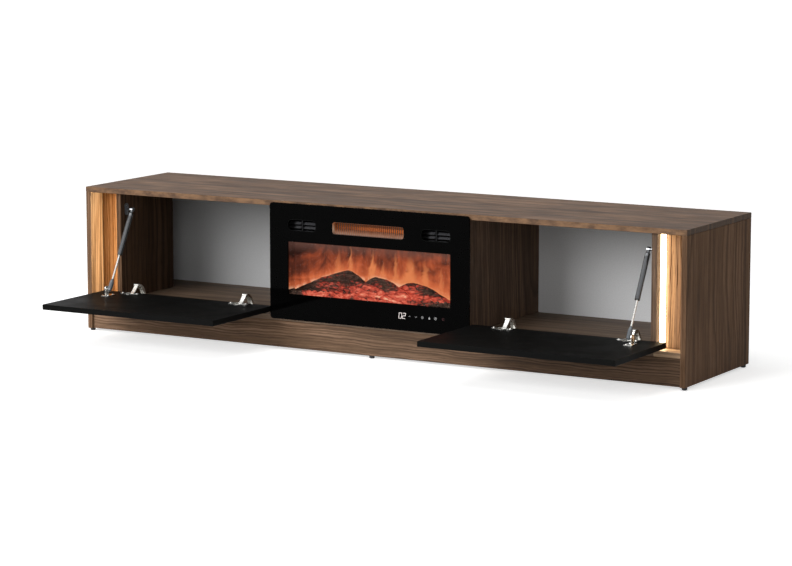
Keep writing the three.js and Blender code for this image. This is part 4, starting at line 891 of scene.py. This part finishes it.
# display figures and touch symbols, a hair proud of the glass; millimetres
display = {"digitX": (108.4, 120.8), "level": 138.0, "wide": 9.6, "tall": 16.4, "stroke": 0.85, "gap": 0.25,
           "proud": 0.12, "sunk": 0.02, "slant": 0.1}
symbols = {"arrows": ((139, 1), (160, -1)), "light": 181, "flame": 204, "fan": 224, "power": 249,
           "arrowWide": 3, "arrowTall": 1.6, "bold": 0.8, "fine": 0.7, "blade": 1.1, "lightRing": 2.0,
           "rays": (3.1, 4.2), "fanRing": 3.6, "fanBlades": (0.0, 2.6), "powerRing": 3.2,
           "powerArc": (125, 415), "powerLine": (0.6, 4)}
flameOutline = ((-2.6, -2.2), (-1.4, -4), (1.4, -4), (2.7, -2), (2, 0.6), (0.6, 1.2), (0.9, 4.2),
                (-1.2, 1.8), (-2.4, 0.2))
# segments a to f clockwise from the top, g in the middle
digitSegments = {0: "adfbec", 2: "agdbe"}
# name: tone and strength of the glow
lampTones = {"displayWhite": ("#fff6f2", 1.9), "symbolGrey": ("#c8c8c8", 0.85), "symbolDim": ("#5a3a3c", 1.0)}


def plate(outline):
    # a flat outline in x and z as a thin plate on the glass
    face, back = front["glassFace"] - display["proud"], front["glassFace"] + display["sunk"]
    points = [Vector((x, y, z)) * mm for y in (face, back) for x, z in outline]
    count = len(outline)
    return points, [list(range(count)), [2 * count - 1 - i for i in range(count)], *ringFaces(2, count)]


def stroke(start, end, width):
    a, b = Vector(start), Vector(end)
    along = (b - a).normalized()
    side = Vector((-along.y, along.x)) * width / 2
    tip = along * width / 2
    return plate([a - tip, a + side, b + side, b + tip, b - side, a - side])


def ringStrokes(x, z, radius, width, start=0.0, end=360.0, steps=14):
    start, end = math.radians(start), math.radians(end)
    marks = [start + (end - start) * i / steps for i in range(steps + 1)]
    spots = [(x + radius * math.cos(a), z + radius * math.sin(a)) for a in marks]
    return [stroke(spots[i], spots[i + 1], width) for i in range(steps)]


def rayStrokes(x, z, reaches, width, count):
    marks = []
    for i in range(count):
        a = i * 2 * math.pi / count
        spots = [(x + reach * math.cos(a), z + reach * math.sin(a)) for reach in reaches]
        marks.append(stroke(*spots, width))
    return marks


def digit(x, z, number):
    half, rise = display["wide"] / 2 - display["stroke"] / 2, display["tall"] / 2 - display["stroke"] / 2
    gap = display["gap"]
    lines = {}
    for key, level in zip("agd", (rise, 0, -rise)):
        lines[key] = ((x - half + gap, z + level), (x + half - gap, z + level))
    for upper, lower, aside in (("f", "e", -half), ("b", "c", half)):
        lines[upper] = ((x + aside, z + gap), (x + aside, z + rise - gap))
        lines[lower] = ((x + aside, z - rise + gap), (x + aside, z - gap))
    shown = [lines[key] for key in digitSegments[number]]
    leaned = [[(across + display["slant"] * (up - z), up) for across, up in line] for line in shown]
    return [stroke(*spots, display["stroke"]) for spots in leaned]


def glowing(name):
    look = Finish(name, rough=0.5, specular=0.02)
    colour, strength = lampTones[name]
    shown = look.ramp(look.grain(700.0, 1.0), ((0.2, colour), (0.8, colour)))
    return look.shade(colour="#0c0c0c", glow=shown, glowStrength=strength)


def displayMarks():
    z = display["level"]
    figures = [mark for x, number in zip(display["digitX"], (0, 2)) for mark in digit(x, z, number)]
    meshObject("displayFigures", *gathered(figures), glowing("displayWhite"), "root", "opal")
    wide, bold, fine = symbols["arrowWide"], symbols["bold"], symbols["fine"]
    marks = []
    for x, turn in symbols["arrows"]:
        peak = (x, z + symbols["arrowTall"] * turn)
        marks += [stroke((x - wide, z - turn), peak, bold), stroke(peak, (x + wide, z - turn), bold)]
    marks += ringStrokes(symbols["light"], z, symbols["lightRing"], fine)
    marks += rayStrokes(symbols["light"], z, symbols["rays"], fine, 8)
    marks.append(plate([(symbols["flame"] + x, z + up) for x, up in flameOutline]))
    marks += ringStrokes(symbols["fan"], z, symbols["fanRing"], fine)
    marks += rayStrokes(symbols["fan"], z, symbols["fanBlades"], symbols["blade"], 3)
    meshObject("touchSymbols", *gathered(marks), glowing("symbolGrey"), "root", "opal")
    x = symbols["power"]
    marks = ringStrokes(x, z, symbols["powerRing"], bold, *symbols["powerArc"])
    marks.append(stroke(*[(x, z + up) for up in symbols["powerLine"]], bold))
    meshObject("powerSymbol", *gathered(marks), glowing("symbolDim"), "root", "opal")


displayMarks()
print("cabinet: display")

# small round nails that hold the back panel, millimetres
nails = {"radius": 2.6, "height": 0.7, "sunk": -0.2, "half": 950.0, "pitch": 158.0, "face": 375.75,
         "levels": (96.0, 418.5)}


def backNails():
    r, h, sunk = nails["radius"], nails["height"], nails["sunk"]
    profile = [(0.0, h), (r * 0.6, h * 0.9), (r, h * 0.3), (r, sunk), (0.0, sunk)]
    profile = [(radius * mm, height * mm) for radius, height in profile]
    count = int(2 * nails["half"] / nails["pitch"])
    parts = []
    for level in nails["levels"]:
        for i in range(count + 1):
            x = nails["half"] * (2 * i / count - 1)
            parts.append(lathe(profile, (x * mm, nails["face"] * mm, level * mm), (0, 1, 0), 12))
    meshObject("backNails", *gathered(parts), greySteel, "root", "grey_steel")


backNails()
print("cabinet: nails")

# studio: pale floor, soft lamps, white behind
studio = {"floor": ("#e9e9e8", "#ededec"), "floorHalf": 60.0, "floorGlow": (3.0, 10.0, 0.6, 1.0),
          "worldStrength": 0.26}
lamps = (
    {"name": "overheadLamp", "at": (-0.6, -1.2, 3.4), "aim": (0, 0, 0.2), "size": (4.0, 3.0), "power": 85},
    {"name": "frontLamp", "at": (-3.8, -8.4, 3.4), "aim": (0.2, 0, 0.25), "size": (6.0, 4.2), "power": 930},
    {"name": "rightLamp", "at": (3.6, -7.2, 2.4), "aim": (0.4, 0, 0.2), "size": (3.0, 2.4), "power": 90},
)


def seenShare(look):
    # 1 where the camera sees it, also in gloss and through glass
    rays = look.node("LightPath").outputs
    seen = look.maths("MAXIMUM", rays["Is Camera Ray"], rays["Is Glossy Ray"])
    return look.maths("MAXIMUM", seen, rays["Is Transmission Ray"])


def studioFloor():
    half = studio["floorHalf"]
    mesh = bpy.data.meshes.new("studioFloor")
    corners = [(x * half, y * half, 0) for x, y in ((-1, -1), (1, -1), (1, 1), (-1, 1))]
    mesh.from_pydata(corners, [], [(0, 1, 2, 3)])
    floor = bpy.data.objects.new("studioFloor", mesh)
    bpy.context.scene.collection.objects.link(floor)
    look = Finish("studioFloorPaint", rough=0.8, specular=0.1)
    colour = look.ramp(look.grain(6.0, 2.0), zip((0.0, 1.0), studio["floor"]))
    reach = look.feed(look.node("VectorMath", operation="LENGTH"), {0: look.spot()})
    strength = look.times(seenShare(look), look.span(reach.outputs["Value"], *studio["floorGlow"]))
    mesh.materials.append(look.shade(colour=colour, glow="#ffffff", glowStrength=strength))


def studioWorld():
    world = bpy.data.worlds.new("studioWorld")
    bpy.context.scene.world = world
    look = Finish("studioWorld", world, "Background")
    level = look.span(seenShare(look), 0.0, 1.0, studio["worldStrength"], 1.0)
    look.feed(look.shader, {"Color": "#ffffff", "Strength": level})


def studioLamps():
    for plan in lamps:
        data = bpy.data.lights.new(plan["name"], "AREA")
        data.shape = "RECTANGLE"
        data.size, data.size_y = plan["size"]
        data.energy = plan["power"]
        lamp = bpy.data.objects.new(plan["name"], data)
        lamp.location = plan["at"]
        ray = Vector(plan["aim"]) - lamp.location
        lamp.rotation_euler = ray.to_track_quat("-Z", "Y").to_euler()
        bpy.context.scene.collection.objects.link(lamp)


studioFloor()
studioWorld()
studioLamps()
print("cabinet: studio")

# the photograph's view; metres, degrees and millimetres of lens
camera = {"place": (4.245, -7.279, 1.504), "pitch": 8.70, "turn": 29.94, "lens": 133.3, "clip": 200.0}
cameraData = bpy.data.cameras.new("photoCamera")
cameraData.lens = camera["lens"]
cameraData.clip_end = camera["clip"]
photoCamera = bpy.data.objects.new("photoCamera", cameraData)
photoCamera.location = camera["place"]
photoCamera.rotation_euler = (math.radians(90 - camera["pitch"]), 0, math.radians(camera["turn"]))
bpy.context.scene.collection.objects.link(photoCamera)
bpy.context.scene.camera = photoCamera
bpy.context.scene.view_settings.view_transform = "Standard"
